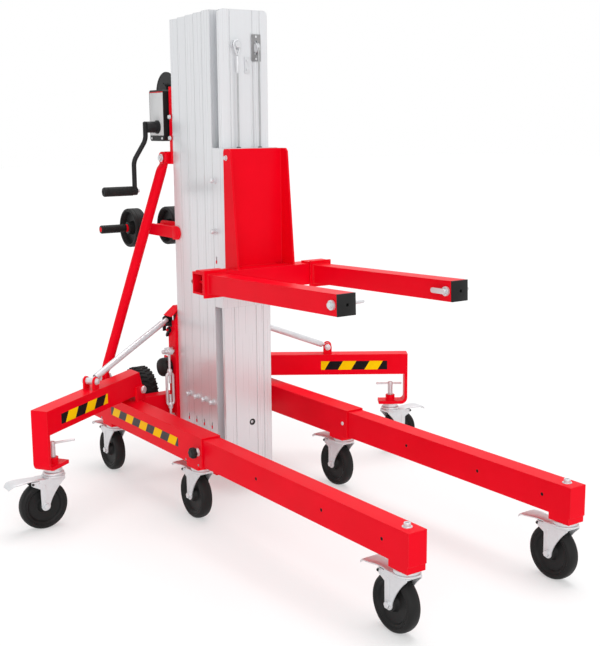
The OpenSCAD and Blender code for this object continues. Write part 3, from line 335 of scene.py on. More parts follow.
black_paint = coat("black_paint", (0.010, 0.010, 0.011), (0.022, 0.022, 0.023),
                   grain=700, depth=0.10 * mm, rough=0.30, spread=0.15, edge=0.3)
nylon = coat("black_nylon", (0.010, 0.010, 0.010), (0.020, 0.020, 0.020),
             grain=900, depth=0.06 * mm, rough=0.34, spread=0.18, edge=0.2)
rubber = coat("black_rubber", (0.010, 0.010, 0.010), (0.020, 0.0195, 0.0195),
              grain=500, depth=0.15 * mm, rough=0.42, spread=0.2, edge=0.15)
tyre = coat("tyre_rubber", (0.008, 0.008, 0.008), (0.018, 0.0175, 0.0175),
            grain=380, depth=0.20 * mm, rough=0.46, spread=0.2, edge=0.1)
pale_sheet = coat("pale_sheet", (0.60, 0.605, 0.61), (0.68, 0.685, 0.69),
                  grain=500, depth=0.02 * mm, rough=0.40, spread=0.1, edge=0)
# painted shade: a dark red for the inside of the roof
shaded_red = coat("shaded_red", (0.10, 0.0005, 0.002), (0.16, 0.001, 0.003),
                  grain=330, depth=0.10 * mm, rough=0.5, spread=0.1, edge=0)
print(len(bpy.data.materials), "finishes")

# %% [markdown]
# The hazard tape is printed in slanted bands. A remainder splits the slanted distance along the
# tape into equal lengths, and half of each length is yellow. Where a tape was cut decides which
# colour comes first. The film is a little scuffed.

# %% Hazard tape
band_lean = 0.6


def hazard_tape(name, first, band_pitch, yellow, dark):
    """Bands that lean to the right. At the length first, a dark band ends and a yellow one starts."""
    faded = tuple(2 * c for c in dark)
    f = Finish(name, Specular_IOR_Level=0.03)
    point = f.node("ShaderNodeTexCoord", output="Object")
    split = {"Vector": point}
    along = f.node("ShaderNodeSeparateXYZ", inputs=split, output="X")
    across = f.node("ShaderNodeSeparateXYZ", inputs=split, output="Y")
    band = (along - across * band_lean - first) % band_pitch > band_pitch / 2
    scuff = f.noise(60, 4)
    worn = f.mix(scuff * 0.2, yellow, (0.80, 0.45, 0.01))
    f.set(Base_Color=f.mix(band, worn, f.mix(scuff, dark, faded)))
    f.set(Roughness=0.32 + 0.2 * scuff)
    f.bumps(f.noise(420), 0.03 * mm)
    return f.material


fresh_yellow, fresh_black = (1.0, 0.68, 0.001), (0.008, 0.008, 0.009)
# The tape on the legs has a more orange yellow and a lighter black than the tape on the arms.
leg_yellow, leg_black = (1.0, 0.58, 0.001), (0.050, 0.050, 0.054)
arm_tape = hazard_tape("arm_tape", 34 * mm, 117 * mm, fresh_yellow, fresh_black)
far_tape = hazard_tape("far_tape", 75.8 * mm, 103.5 * mm, fresh_yellow, fresh_black)
leg_tape = hazard_tape("leg_tape", 19 * mm, 107.5 * mm, leg_yellow, leg_black)
print("three printed tapes")

# %% [markdown]
# The tubes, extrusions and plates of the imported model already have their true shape, so they only
# get a finish. A table of finishes, with the starts of the nodes' names, does that in one loop.

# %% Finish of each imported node
node_finishes = (
    (red, "red_paint", ("leg_tube", "base_beam", "leg_extension", "fork_frame", "fork_arm", "outrigger",
                        "winch_bracket", "loading_bracket")),
    (aluminium, "anodised_aluminium", ("mast_section", "carriage")),
    (zinc, "zinc_steel", ("cable_fittings", "front_sheave", "fork_pin", "stay", "turnbuckles")),
    (black_paint, "black_paint", ("winch_casing", "winch_drum", "latch")),
    (nylon, "black_plastic", ("index_knob", "fork_cap")),
    (rubber, "black_rubber", ("loading_grips",)),
)
finished = 0
for finish, slot, starts in node_finishes:
    for part in (nodes[name] for name in nodes if name.startswith(starts)):
        part.data.materials.clear()
        part.data.materials.append(finish)
        finished += 1
print(finished, "nodes have their finish")

# %% [markdown]
# The stage is a plain pale floor under even light. One broad lamp overhead gives the soft shadow
# below the legs, a weaker one lights the near side, and the world fills the rest. What the camera
# and the mirrors see of the world is plain white, which is apart from the light on the hoist.

# %% Floor, lamps and world
floor_half, floor_glow, fill_light = 30, 0.45, 0.55
see_white = ("Is Camera Ray", "Is Glossy Ray", "Is Transmission Ray")
white = (1, 1, 1)


def seen(node_of):
    """1 for the rays that should see a white studio."""
    first, second, third = (node_of("ShaderNodeLightPath", output=name) for name in see_white)
    return first.math("MAXIMUM", first.math("MAXIMUM", first, second), third)


def lay_floor():
    corners = [(x, y, 0) for x, y in ((-1, -1), (1, -1), (1, 1), (-1, 1))]
    data = bpy.data.meshes.new("floor")
    data.from_pydata([Vector(c) * floor_half for c in corners], [], [(0, 1, 2, 3)])
    ground = bpy.data.objects.new("floor", data)
    bpy.context.scene.collection.objects.link(ground)
    f = Finish("pale_floor", Roughness=0.9, Specular_IOR_Level=0.0)
    f.set(Base_Color=f.mix(f.noise(3), (0.93, 0.93, 0.93), (0.95, 0.95, 0.95)))
    glow = f.node("ShaderNodeEmission", inputs={"Color": white, "Strength": 1})
    paint = Wire(f, f.shader.outputs[0])
    both = f.node("ShaderNodeMixShader", inputs={0: seen(f.node) * floor_glow, 1: paint, 2: glow})
    f.feed(f.tree.nodes["Material Output"].inputs["Surface"], both)
    data.materials.append(f.material)
    ground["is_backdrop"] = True


def hang_lamp(name, aim, strength, spread):
    lamp = bpy.data.lights.new(name, "SUN")
    lamp.energy = strength
    lamp.angle = math.radians(spread)
    holder = bpy.data.objects.new(name, lamp)
    holder.rotation_mode = "QUATERNION"
    holder.rotation_quaternion = Vector(aim).to_track_quat("-Z", "Y")
    bpy.context.scene.collection.objects.link(holder)


class Sky(Finish):
    """The world's own nodes, written in the same way as a finish."""

    def __init__(self):
        world = bpy.data.worlds.new("studio")
        world.use_nodes = True
        bpy.context.scene.world = world
        self.tree = world.node_tree


lay_floor()
hang_lamp("overhead", aim=(-0.22, -0.12, -1), strength=1.6, spread=38)
hang_lamp("near_side", aim=(0.42, 0.85, -0.5), strength=1.0, spread=60)
sky = Sky()
lit = seen(sky.node)
sky.feed(sky.tree.nodes["Background"].inputs["Color"], white)
sky.feed(sky.tree.nodes["Background"].inputs["Strength"], lit + (1 - lit) * fill_light)
print("floor,", len(bpy.data.lights), "lamps and a white world")

# %% [markdown]
# Most small hardware is turned on a lathe, cut from plate or bent from rod. Before the forms
# themselves come the lines that they are drawn from: arcs, Bezier curves and rounded paths. Points
# are written in millimetres where a drawing would have them so.

# %% Places, arcs and paths
side_view = Matrix(((0, 0, 1, 0), (1, 0, 0, 0), (0, 1, 0, 0), (0, 0, 0, 1)))


def in_mm(points):
    """Points that are given in millimetres, in metres."""
    return [tuple(c * mm for c in p) for p in points]


def facing(origin, axis, up=(0, 0, 1)):
    """A place whose Z axis points along axis, with its Y axis as near to up as it can be."""
    z = Vector(axis).normalized()
    hint = Vector(up) if abs(z.dot(Vector(up))) < 0.99 else Vector((0, 1, 0))
    x = hint.cross(z).normalized()
    turn = Matrix((x, z.cross(x), z)).transposed().to_4x4()
    return Matrix.Translation(Vector(origin)) @ turn


def arc(centre, radius, start, end, steps=8):
    """Points on a circle in the plane, between two angles in degrees."""
    angles = [math.radians(start + (end - start) * i / steps) for i in range(steps + 1)]
    return [(centre[0] + radius * math.cos(a), centre[1] + radius * math.sin(a)) for a in angles]


def curve(a, b, c, d, steps=10):
    """Points on a Bezier curve from a to d."""
    points = []
    for i in range(steps + 1):
        t = i / steps
        weights = ((1 - t) ** 3, 3 * t * (1 - t) ** 2, 3 * t * t * (1 - t), t ** 3)
        points.append(tuple(sum(w * p for w, p in zip(weights, axis)) for axis in zip(a, b, c, d)))
    return points


def rounded_path(points, radius, steps=6):
    """A path with its corners rounded off."""
    points = [Vector(p) for p in points]
    out = [points[0]]
    for before, here, after in zip(points, points[1:], points[2:]):
        back, on = (before - here).normalized(), (after - here).normalized()
        start, end = here + back * radius, here + on * radius
        out += [Vector(p) for p in curve(start, here.lerp(start, 0.4), here.lerp(end, 0.4), end, steps)]
    return out + [points[-1]]


print("an arc of 90 degrees has", len(arc((0, 0), 1, 0, 90)), "points")

# %% [markdown]
# One class collects turned, cut and bent forms in a mesh, so that each piece below is only its
# profile, its outline or its path. Many small objects joined later would give the same picture, but
# one mesh for each moving piece keeps the table of pieces short.

# %% Turned, cut and bent forms


class Shape:
    """A mesh put together from turned, cut and bent forms, in metres."""

    def __init__(self):
        self.mesh = bmesh.new()

    def skin(self, rings, closed=False, caps=True):
        """Joins rings of points, all with the same count, into a surface."""
        made = [[self.mesh.verts.new(p) for p in ring] for ring in rings]
        count = len(made[0])
        pairs = list(zip(made, made[1:])) + ([(made[-1], made[0])] if closed else [])
        for a, b in pairs:
            for i in range(count):
                k = (i + 1) % count
                self.mesh.faces.new((a[i], a[k], b[k], b[i]))
        if caps and not closed:
            self.mesh.faces.new(list(reversed(made[0])))
            self.mesh.faces.new(made[-1])

    def turn(self, profile, place, steps=48, closed=False):
        """Turns (radius, height) points about the place's Z axis."""
        rings = []
        for r, z in profile:
            ring = [(max(r, 1e-5) * math.cos(a), max(r, 1e-5) * math.sin(a), z)
                    for a in (i * math.tau / steps for i in range(steps))]
            rings.append([place @ Vector(p) for p in ring])
        self.skin(rings, closed)

    def plate(self, outline, low, high, place, bevel=0.0):
        """An outline in the place's XY plane, made solid from low to high, with its rims eased."""
        part = bmesh.new()
        bottom = part.faces.new([part.verts.new((x, y, low)) for x, y in outline])
        top = bmesh.ops.extrude_face_region(part, geom=[bottom])["geom"]
        for v in (g for g in top if isinstance(g, bmesh.types.BMVert)):
            v.co.z = high
        bmesh.ops.recalc_face_normals(part, faces=part.faces)
        if bevel:
            sharp = [e for e in part.edges if e.calc_face_angle(0) > math.radians(30)]
            bmesh.ops.bevel(part, geom=sharp, offset=bevel, segments=2, profile=0.6, affect="EDGES")
        self.take(part, place)

    def block(self, low, high, bevel=0.0, place=Matrix()):
        outline = [(low[0], low[1]), (high[0], low[1]), (high[0], high[1]), (low[0], high[1])]
        self.plate(outline, low[2], high[2], place, bevel)

    def take(self, part, place):
        """Moves another mesh into this one."""
        part.transform(place)
        data = bpy.data.meshes.new("part")
        part.to_mesh(data)
        part.free()
        self.mesh.from_mesh(data)
        bpy.data.meshes.remove(data)

    def bend(self, path, radius, steps=16, closed=False, section=None):
        """A round rod along a path; section(angle, share) may give another radius."""
        path = [Vector(p) for p in path]
        count = len(path)
        rings = []
        side = None
        for i, p in enumerate(path):
            ahead = path[(i + 1) % count] if closed or i < count - 1 else p
            behind = path[i - 1] if closed or i else p
            along = (ahead - behind).normalized()
            if side is None:
                side = along.orthogonal().normalized()
            side = (side - along * side.dot(along)).normalized()
            other = along.cross(side)
            angles = [k * math.tau / steps for k in range(steps)]
            size = [section(a, i / (count - 1)) if section else radius for a in angles]
            ring = [(side * math.cos(a) + other * math.sin(a)) * r for a, r in zip(angles, size)]
            rings.append([p + out for out in ring])
        self.skin(rings, closed)

    def data(self, name, finish):
        """Ends the mesh: smooth on its curves and sharp on its edges."""
        bmesh.ops.recalc_face_normals(self.mesh, faces=self.mesh.faces)
        data = bpy.data.meshes.new(name)
        self.mesh.to_mesh(data)
        self.mesh.free()
        data.shade_smooth()
        data.set_sharp_from_angle(angle=math.radians(38))
        data.materials.append(finish)
        return data

    def piece(self, name, body, finish, slot, place=None):
        """Ends the mesh as an object that rides on a body."""
        return put(self.data(name, finish), name, body, place)


def put(data, name, body, place=None):
    """Places a mesh as a piece of the hoist."""
    made = bpy.data.objects.new(name, data)
    bpy.context.scene.collection.objects.link(made)
    if place:
        made.matrix_world = place
    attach(made, body)
    return made


print("a shape can skin, turn, plate, block and bend")

# %% [markdown]
# Bolts, screws and rivets are everywhere on a steel frame, and their washers catch the light. Three
# small functions add a hexagon head, a socket head or a dome to any shape, standing on a face.

# %% Screws, nuts and washers
hexagon = [(math.cos(math.radians(a)), math.sin(math.radians(a))) for a in range(0, 360, 60)]


def hex_screw(shape, at, axis, across, height, washer=1.9):
    """A hexagon head with a turned washer below it, standing on a face."""
    place = facing(at, axis)
    disc = across * washer / 2
    thick = height * 0.22
    shape.turn([(0, 0), (disc, 0), (disc, thick * 0.8), (disc * 0.95, thick), (0, thick)], place, 32)
    size = across / math.sqrt(3)
    shape.plate([(x * size, y * size) for x, y in hexagon], thick * 0.9, height, place, height * 0.12)


def cap_screw(shape, at, axis, d):
    """A socket head screw on a washer, with an eased rim and a recess in its top."""
    place = facing(at, axis)
    r, h = d / 2, d * 0.62
    washer = [(0, 0), (1.45, 0), (1.45, 0.14), (1.38, 0.2), (0, 0.2)]
    head = [(0, 0.15), (0.98, 0.18), (1, 0.25), (1, 0.86), (0.9, 1), (0.52, 1), (0.46, 0.55), (0, 0.5)]
    for profile, steps in ((washer, 32), (head, 36)):
        shape.turn([(r * a, h * b) for a, b in profile], place, steps)


def dome_screw(shape, at, axis, d):
    """A low domed head, as on a rivet or a carriage bolt."""
    r = d / 2
    dome = [(r * math.cos(a), r * 0.62 * math.sin(a)) for a in (i * math.pi / 12 for i in range(7))]
    shape.turn([(0, 0)] + dome, facing(at, axis), 28)


print("hexagon, socket and dome heads are ready")

# %% [markdown]
# Eight braked casters carry the hoist. A real fork is pressed from one sheet: a crown under the
# ball race, two legs that narrow towards the axle and a swaged rib down each leg. The outline is
# drawn from one arc and one curve, cut from plate and eased, and the race is turned.

# %% Caster fork, in its own frame: swivel axis up, wheel trailing along Y
wheel_low, wheel_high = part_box("caster_wheel_front_left")
fork_low, fork_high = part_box("caster_fork_front_left")
swivel = pivot["caster_front_left_swivel"]
axle_place = pivot["wheel_front_left_spin"] - Vector((swivel.x, swivel.y, 0))
wheel_r = (wheel_high.z - wheel_low.z) / 2
hub_half = (wheel_high.x - wheel_low.x) / 2
trail, axle_z = axle_place.y, axle_place.z
sheet_in, sheet_t = hub_half + 0.3 * mm, 4 * mm
sheet_out = sheet_in + sheet_t
crown_z = 2 * wheel_r + 9 * mm
race_r = swivel.y - fork_low.y
race_top = crown_z + 16 * mm
pedal_end = fork_high.y - swivel.y
eye_r = 15 * mm
crown_front, crown_back = -29 * mm, 58 * mm
cheek_end = trail + eye_r + 30 * mm


def side_plate(s, outline, x0, x1, bevel):
    """A plate whose outline is drawn in (y, z), between two x values in either order."""
    s.plate(outline, min(x0, x1), max(x0, x1), side_view, bevel)


def fork_leg_outline():
    """One leg with the cheek that holds the brake, seen from the side, as (y, z) points."""
    front, heel = crown_front, trail + eye_r
    foot = arc((trail, axle_z), eye_r, 180, 360, 14)
    cheek = [(heel + 1 * mm, crown_z - 30 * mm), (cheek_end - 4 * mm, crown_z - 17 * mm),
             (cheek_end, crown_z - 13 * mm), (cheek_end, crown_z - 3 * mm)]
    sweep = curve((front, crown_z - 7 * mm), (front + 20 * mm, crown_z - 24 * mm),
                  (trail - eye_r - 9 * mm, axle_z + 34 * mm), (trail - eye_r, axle_z + 5 * mm), 14)
    return foot + cheek + [(front, crown_z - 3 * mm)] + sweep


def swage_outline():
    """The pressed rib that stiffens a leg."""
    half = 5.5 * mm
    top = crown_z - 22 * mm
    return arc((trail, axle_z + 24 * mm), half, 180, 360) + arc((trail + 3 * mm, top), half, 0, 180)


def caster_fork_mesh():
    s = Shape()
    for side in (-1, 1):
        side_plate(s, fork_leg_outline(), side * sheet_in, side * sheet_out, 0.9 * mm)
        rib_in, rib_out = side * (sheet_out - 0.5 * mm), side * (sheet_out + 1.2 * mm)
        side_plate(s, swage_outline(), rib_in, rib_out, 0.8 * mm)
        hex_screw(s, (side * sheet_out, trail, axle_z), (side, 0, 0), 17 * mm, 8 * mm, 1.35)
        for y in (cheek_end - 8 * mm, cheek_end - 24 * mm):
            dome_screw(s, (side * sheet_out, y, crown_z - 9.5 * mm), (side, 0, 0), 6 * mm)
    axle = [(0, -hub_half), (6 * mm, -hub_half), (6 * mm, hub_half), (0, hub_half)]
    s.turn(axle, facing((0, trail, axle_z), (1, 0, 0)), 20)
    s.block((-sheet_out, crown_front, crown_z - 4 * mm), (sheet_out, crown_back, crown_z + 1 * mm),
            1.5 * mm)
    return s


def ball_race(s):
    """The two rings of the swivel, with the groove between them and the stem above."""
    lower = [(0, -3), (28, -3), (34, -1), (37, 1.5), (38, 4), (37.4, 6.4), (35.2, 7.2), (33.4, 7.4)]
    upper = [(33.4, 8.6), (34.6, 9), (35, 11), (34.4, 14), (33, 15.6), (31.5, 16), (0, 16)]
    s.turn([(a / 38 * race_r, crown_z + b * mm) for a, b in lower + upper], Matrix(), 56)
    stem = [(0, -1), (7, -1), (7, 14), (0, 14)]
    s.turn([(a * mm, race_top + b * mm) for a, b in stem], Matrix(), 20)


print("wheel radius", round(wheel_r, 4), "trail", round(trail, 4))

# %% [markdown]
# The brake pedal is a pressed sheet that flares, rises a little and curls down at its tip. A box
# could be bent to that with modifiers, but a function from two shares to a point says it outright.

# %% Brake pedal
pedal_start = 34 * mm


def pedal_point(u, v):
    """A point on top of the pedal: u runs from the fork to the tip, v from side to side."""
    y = pedal_start + (pedal_end - pedal_start) * u
    flare = 23 + 8 / (1 + math.exp(-18 * (u - 0.55)))
    tip = 1 - 0.28 * max(0, (u - 0.9) / 0.1) ** 2
    droop = 13 * max(0, (u - 0.86) / 0.14) ** 1.6
    z = crown_z + (1.2 + 2.5 * math.sin(math.pi * min(u / 0.86, 1)) - droop - 2.2 * abs(v) ** 6) * mm
    return Vector((flare * tip * v * mm, y, z))


def add_pedal(s):
    across = [-1, -0.94, -0.8, -0.5, 0, 0.5, 0.8, 0.94, 1]
    under = Vector((0, 0, -3 * mm))
    rings = []
    for i in range(25):
        top = [pedal_point(i / 24, v) for v in across]
        rings.append(top + [p + under for p in reversed(top)])
    s.skin(rings)


def caster_shape():
    s = caster_fork_mesh()
    ball_race(s)
    add_pedal(s)
    return s


print("pedal end", round(pedal_end, 4))

# %% [markdown]
# The wheel is two turned pieces: a rubber tread with rounded shoulders and a ring groove, and a
# dished nylon core with a raised hub. Turning both from profiles keeps every edge soft.

# %% Caster wheel, turned about its axle
tread_half = hub_half - 2.5 * mm
drawn_r = 80


def mirrored(profile):
    """A profile and its mirror image, for a wheel that is the same on both sides."""
    return profile + [(r, -z) for r, z in reversed(profile)]


def wheel_of(side, half, steps):
    """A wheel turned from one side's profile, drawn at drawn_r and as shares of half its width."""
    s = Shape()
    profile = mirrored([(r / drawn_r * wheel_r, -z * half) for r, z in side])
    s.turn(profile, Matrix(), steps, closed=True)
    return s


def caster_tread():
    groove = [(61, 0.84), (63, 0.88), (64, 0.84), (65, 0.84), (66, 0.93)]
    shoulder = [(68, 1.0), (71, 0.99), (74, 0.92), (76.6, 0.79), (78.5, 0.60), (79.6, 0.37), (80, 0.12)]
    return wheel_of(groove + shoulder, tread_half, 72)


def caster_core():
    hub = [(7, 1), (16, 1), (19.5, 0.96), (21, 0.84), (22, 0.52)]
    dish = [(25, 0.38), (44, 0.34), (52, 0.40), (55, 0.56), (57, 0.70), (59.5, 0.76), (61.5, 0.72)]
    return wheel_of(hub + dish, hub_half, 64)


print("tread width", round(2 * tread_half, 4))

# %% [markdown]
# All eight casters are the same, so each mesh is made once and its copies share it. The frame gives
# the swivel axis and the axle of every caster, and the direction from one to the other turns it.

# %% Eight casters
places = ("front", "mid", "rear", "side")


def brake_shoe():
    """The black rubber foot below the pedal that grips the tread."""
    s = Shape()
    y, z = trail + 32 * mm, crown_z - 11 * mm
    s.block((-17 * mm, y, z - 2 * mm), (17 * mm, y + 18 * mm, z + 6 * mm), 1.5 * mm)
    reach = sheet_out + 3 * mm
    s.bend([(x, y + 9 * mm, z + 2 * mm) for x in (-reach, reach)], 4 * mm)
    return s


def first_then_copies(shape_of, finish, slot):
    """Makes a mesh once and returns a function that puts a copy of it on a body."""
    data = {}

    def place_copy(name, body, place):
        if "mesh" in data:
            return put(data["mesh"], name, body, place)
        made = shape_of().piece(name, body, finish, slot, place)
        data["mesh"] = made.data
        return made

    return place_copy


put_fork = first_then_copies(caster_shape, zinc, "zinc_steel")
put_shoe = first_then_copies(brake_shoe, rubber, "black_rubber")
put_tread = first_then_copies(caster_tread, rubber, "black_rubber")
put_core = first_then_copies(caster_core, nylon, "black_plastic")
for place in places:
    for hand in hands:
        spot, axle = pivot[f"caster_{place}_{hand}_swivel"], pivot[f"wheel_{place}_{hand}_spin"]
        back = Vector((axle.x - spot.x, axle.y - spot.y, 0)).normalized()
        stand = Matrix.Translation((spot.x, spot.y, 0)) @ facing((0, 0, 0), (0, 0, 1), back)
        spin = facing(axle, back.cross(Vector((0, 0, 1))))
        tag = f"{place}_{hand}"
        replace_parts(put_fork(f"caster_frame_{tag}", f"caster_{tag}", stand), f"caster_fork_{tag}")
        put_shoe(f"caster_brake_{tag}", f"caster_{tag}", stand)
        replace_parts(put_tread(f"caster_tread_{tag}", f"wheel_{tag}", spin), f"caster_wheel_{tag}")
        put_core(f"caster_core_{tag}", f"wheel_{tag}", spin)
print("casters:", len(places) * len(hands))

# %% [markdown]
# Two lugged tyres let the hoist be tipped back and rolled over rough ground. The carcass is turned,
# then a loop sets the rubber lugs round it, left and right in turn. The hub is a spoked moulding.

# %% Lugged rear wheels
lug_count = 30
lug_lean = 0.35
spoke_count = 6


def ring_of(count, place, radius=0.0, start=0.0):
    """Places set round a wheel, each with its X axis pointing outward."""
    out = Matrix.Translation((radius, 0, 0))
    for i in range(count):
        yield place @ Matrix.Rotation(start + i * math.tau / count, 4, "Z") @ out


def plain_tread(side, r, half, place):
    """A tyre turned from one side's profile, given as shares of its radius and half its width."""
    s = Shape()
    s.turn(mirrored([(a * r, -b * half) for a, b in side]), place, 64, closed=True)
    return s


def rear_tyre(r, half, place):
    """A carcass with leaning lugs on the tread and short ones on the shoulders."""
    side = [(0.63, 0.66), (0.66, 0.84), (0.72, 0.95), (0.80, 1.0), (0.88, 0.96), (0.94, 0.82)]
    s = plain_tread(side + [(0.965, 0.55), (0.972, 0.25)], r, half, place)
    for hand in (-1, 1):
        start = 0 if hand < 0 else math.pi / lug_count
        low, high = sorted((hand * 0.06 * half, hand * 0.86 * half))
        for spot in ring_of(lug_count, place, 0.92 * r, start):
            lean = spot @ Matrix.Rotation(hand * lug_lean, 4, "X")
            s.block((-0.02 * r, -0.036 * r, low), (0.078 * r, 0.036 * r, high), 1.2 * mm, lean)
        low, high = sorted((hand * 0.7 * half, hand * 0.99 * half))
        for spot in ring_of(lug_count, place, 0.86 * r, start):
            s.block((-0.05 * r, -0.03 * r, low), (0.085 * r, 0.03 * r, high), 1.2 * mm, spot)
    return s


def spoked_core(r, half, hub, place, rim_share, spokes):
    """A moulded wheel centre: a rim, a thin web, a hub and ribs from one to the other."""
    side = [(0.115, hub), (0.25, hub), (0.30, hub * 0.93), (0.33, half * 0.5), (0.36, half * 0.16),
            (rim_share - 0.09, half * 0.16), (rim_share - 0.06, half * 0.55),
            (rim_share - 0.02, half * 0.82), (rim_share + 0.02, half * 0.8)]
    s = Shape()
    s.turn(mirrored([(a * r, -z) for a, z in side]), place, 56, closed=True)
    thick, tall, end = 0.035 * r, half * 0.6, (rim_share - 0.04) * r
    for spot in ring_of(spokes, place):
        s.block((0.28 * r, -thick, -tall), (end, thick, tall), 1.2 * mm, spot)
    return s


for hand in hands:
    low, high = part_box(f"rear_wheel_{hand}")
    r, hub = (high.z - low.z) / 2, (high.x - low.x) / 2
    spin = facing(pivot[f"rear_wheel_{hand}_spin"], (1, 0, 0))
    outer = rear_tyre(r, hub - 1 * mm, spin)
    outer = outer.piece(f"rear_tyre_{hand}", f"rear_wheel_{hand}", tyre, "tyre_rubber")
    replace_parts(outer, f"rear_wheel_{hand}")
    core = spoked_core(r, hub - 6 * mm, hub, spin, 0.64, spoke_count)
    core.piece(f"rear_hub_{hand}", f"rear_wheel_{hand}", dark_steel, "zinc_steel")
print("rear wheels with", 2 * lug_count, "lugs each")

# %% [markdown]
# Higher up, two plain wheels and a pair of grips help to slide the hoist into a van. The same
# moulded core serves again, but with a deep plain dish, and the tread has two shallow grooves. The
# grips are sleeves, so that the red end of the axle shows in the middle.

# %% Loading wheels and grips
grooved_side = [(0.84, 0.8), (0.86, 0.95), (0.90, 1.0), (0.95, 0.99), (0.985, 0.92), (1.0, 0.78),
                (1.0, 0.55), (0.985, 0.50), (0.985, 0.44), (1.0, 0.39)]


def ribbed_grip(r, length, place, ribs, bore):
    """A hand grip with rounded ends and shallow rings, along the place's Z axis."""
    profile = [(bore, 0), (r * 0.95, 0), (r, r * 0.1)]
    for i in range(ribs):
        z = length * (0.12 + 0.76 * i / (ribs - 1))
        groove = ((1, -1.6), (0.93, -0.8), (0.93, 0.8), (1, 1.6))
        profile += [(r * share, z + step * mm) for share, step in groove]
    profile += [(r, length - r * 0.25), (r * 0.9, length - r * 0.05)]
    profile += [(r * 0.78, length), (bore, length)]
    s = Shape()
    s.turn(profile, place, 40, closed=True)
    return s


grips_low, grips_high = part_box("loading_grips")
grip_r = (grips_high.z - grips_low.z) / 2
collar, axle_bore, grip_rings = 8.6 * mm, 10.3 * mm, 9
for hand, side in hands.items():
    low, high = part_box(f"loading_wheel_{hand}")
    r, hub = (high.z - low.z) / 2, (high.x - low.x) / 2
    centre = pivot[f"loading_wheel_{hand}_spin"]
    spin = facing(centre, (1, 0, 0))
    tread = plain_tread(grooved_side, r, hub - 2 * mm, spin)
    tread = tread.piece(f"loading_tread_{hand}", f"loading_wheel_{hand}", rubber, "black_rubber")
    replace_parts(tread, f"loading_wheel_{hand}")
    core = spoked_core(r, hub - 4 * mm, hub, spin, 0.85, 0)
    core.piece(f"loading_hub_{hand}", f"loading_wheel_{hand}", nylon, "black_plastic")
    start = centre.x + side * (hub + collar)
    place = facing((start, centre.y, centre.z), (side, 0, 0))
    grip = ribbed_grip(grip_r, abs(side * grips_high.x - start), place, grip_rings, axle_bore)
    grip = grip.piece(f"loading_grip_{hand}", "base", rubber, "black_rubber")
    if hand == "right":
        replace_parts(grip, "loading_grips")
print("loading wheels", round(2 * r, 3), "m across")

# %% [markdown]
# The two braces are tubes whose ends were flattened in a press and drilled. The outline of a
# squeezed tube keeps its length, so as it gets thinner one way it gets wider the other. Rings of
# points that change from round to flat give that in one surface.

# %% Bracing tubes
brace_low, brace_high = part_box("brace_struts")
brace_r = 19 * mm
brace_flat = 6.6 * mm
brace_eye = 21 * mm
flat_run, ease_run = 18 * mm, 30 * mm
lined_up, swung_over = 16 * mm, 40 * mm
leg_x = -(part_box("leg_extension_left")[0].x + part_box("leg_extension_left")[1].x) / 2
lug_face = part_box("winch_bracket")[0].x


def brace_ends(side):
    """The middle of the lower and of the upper bolt of a brace."""
    foot_y, head_y = brace_high.y - brace_eye - 5 * mm, brace_low.y + brace_eye - 12 * mm
    foot = Vector((side * leg_x, foot_y, brace_low.z + brace_eye))
    head = Vector((-side * lug_face + side * 7.3 * mm, head_y, brace_high.z - brace_eye))
    return foot, head


def squeezed_tube(s, foot, head):
    """A tube from foot to head, flattened across X at both ends."""
    along = (head - foot).normalized()
    length = (head - foot).length
    across = Vector((0, along.z, -along.y)).normalized()
    flat_way = Vector((1, 0, 0))
    rings = []
    stations = [-21, -20, -17, -12, -6, 0, 8, 16, 24, 32, 40, 50, 60, 72]
    shares = [d * mm for d in stations] + [length - d * mm for d in reversed(stations)]
    for d in shares:
        near = min(d, length - d)
        t = min(max((near - flat_run) / ease_run, 0), 1)
        t = t * t * (3 - 2 * t)
        thin = brace_flat + (brace_r - brace_flat) * t
        wide = brace_eye + (brace_r - brace_eye) * t
        if near < 0:
            wide = math.sqrt(max(brace_eye ** 2 - near ** 2, 1e-7))
        end = foot if d < length / 2 else head
        middle = foot + along * d
        if near < lined_up:
            middle.x = end.x
        elif near < swung_over:
            middle.x += (end.x - middle.x) * (1 - (near - lined_up) / (swung_over - lined_up))
        power = 0.45 + 0.55 * t
        ring = []
        for k in range(36):
            a = k * math.tau / 36
            c, q = math.cos(a), math.sin(a)
            ring.append(middle + across * wide * math.copysign(abs(c) ** power, c)
                        + flat_way * thin * math.copysign(abs(q) ** power, q))
        rings.append(ring)
    s.skin(rings)


foot_ear, head_ear = 15.3 * mm, 14 * mm
braces, brace_bolts = Shape(), Shape()
for hand, side in hands.items():
    foot, head = brace_ends(side)
    squeezed_tube(braces, foot, head)
    for spot, way, reach in ((foot, side, foot_ear), (head, side, head_ear), (foot, -side, foot_ear)):
        hex_screw(brace_bolts, spot + Vector((way * reach, 0, 0)), (way, 0, 0), 19 * mm, 10 * mm, 1.5)
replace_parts(braces.piece("brace_tubes", "base", red, "red_paint"), "brace_struts")
brace_bolts.piece("brace_bolts", "base", zinc, "zinc_steel")
print("brace length", round((head - foot).length, 3), "m, head at", [round(c, 4) for c in head])

# %% [markdown]
# The winch handle is one bent bar with a welded hub. A path with rounded corners makes the bar,
# and the grip turns freely on a pin at its foot.

# %% Winch handle
crank_at = pivot["crank_turn"]
case_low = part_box("winch_casing")[0]
hub_face = case_low.x - 0.3 * mm
grip_shift = 9.5 * mm
grip_low, grip_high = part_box("crank_grip")
arm_x, end_x = hub_face - 50 * mm, grip_high.x + 9.3 * mm - grip_shift
crank_drop = crank_at.z - pivot["crank_grip_spin"].z
bar_r = 8.6 * mm


def on_crank(x, down):
    """A point at x, below the crank's axis."""
    return Vector((x, crank_at.y, crank_at.z - down))


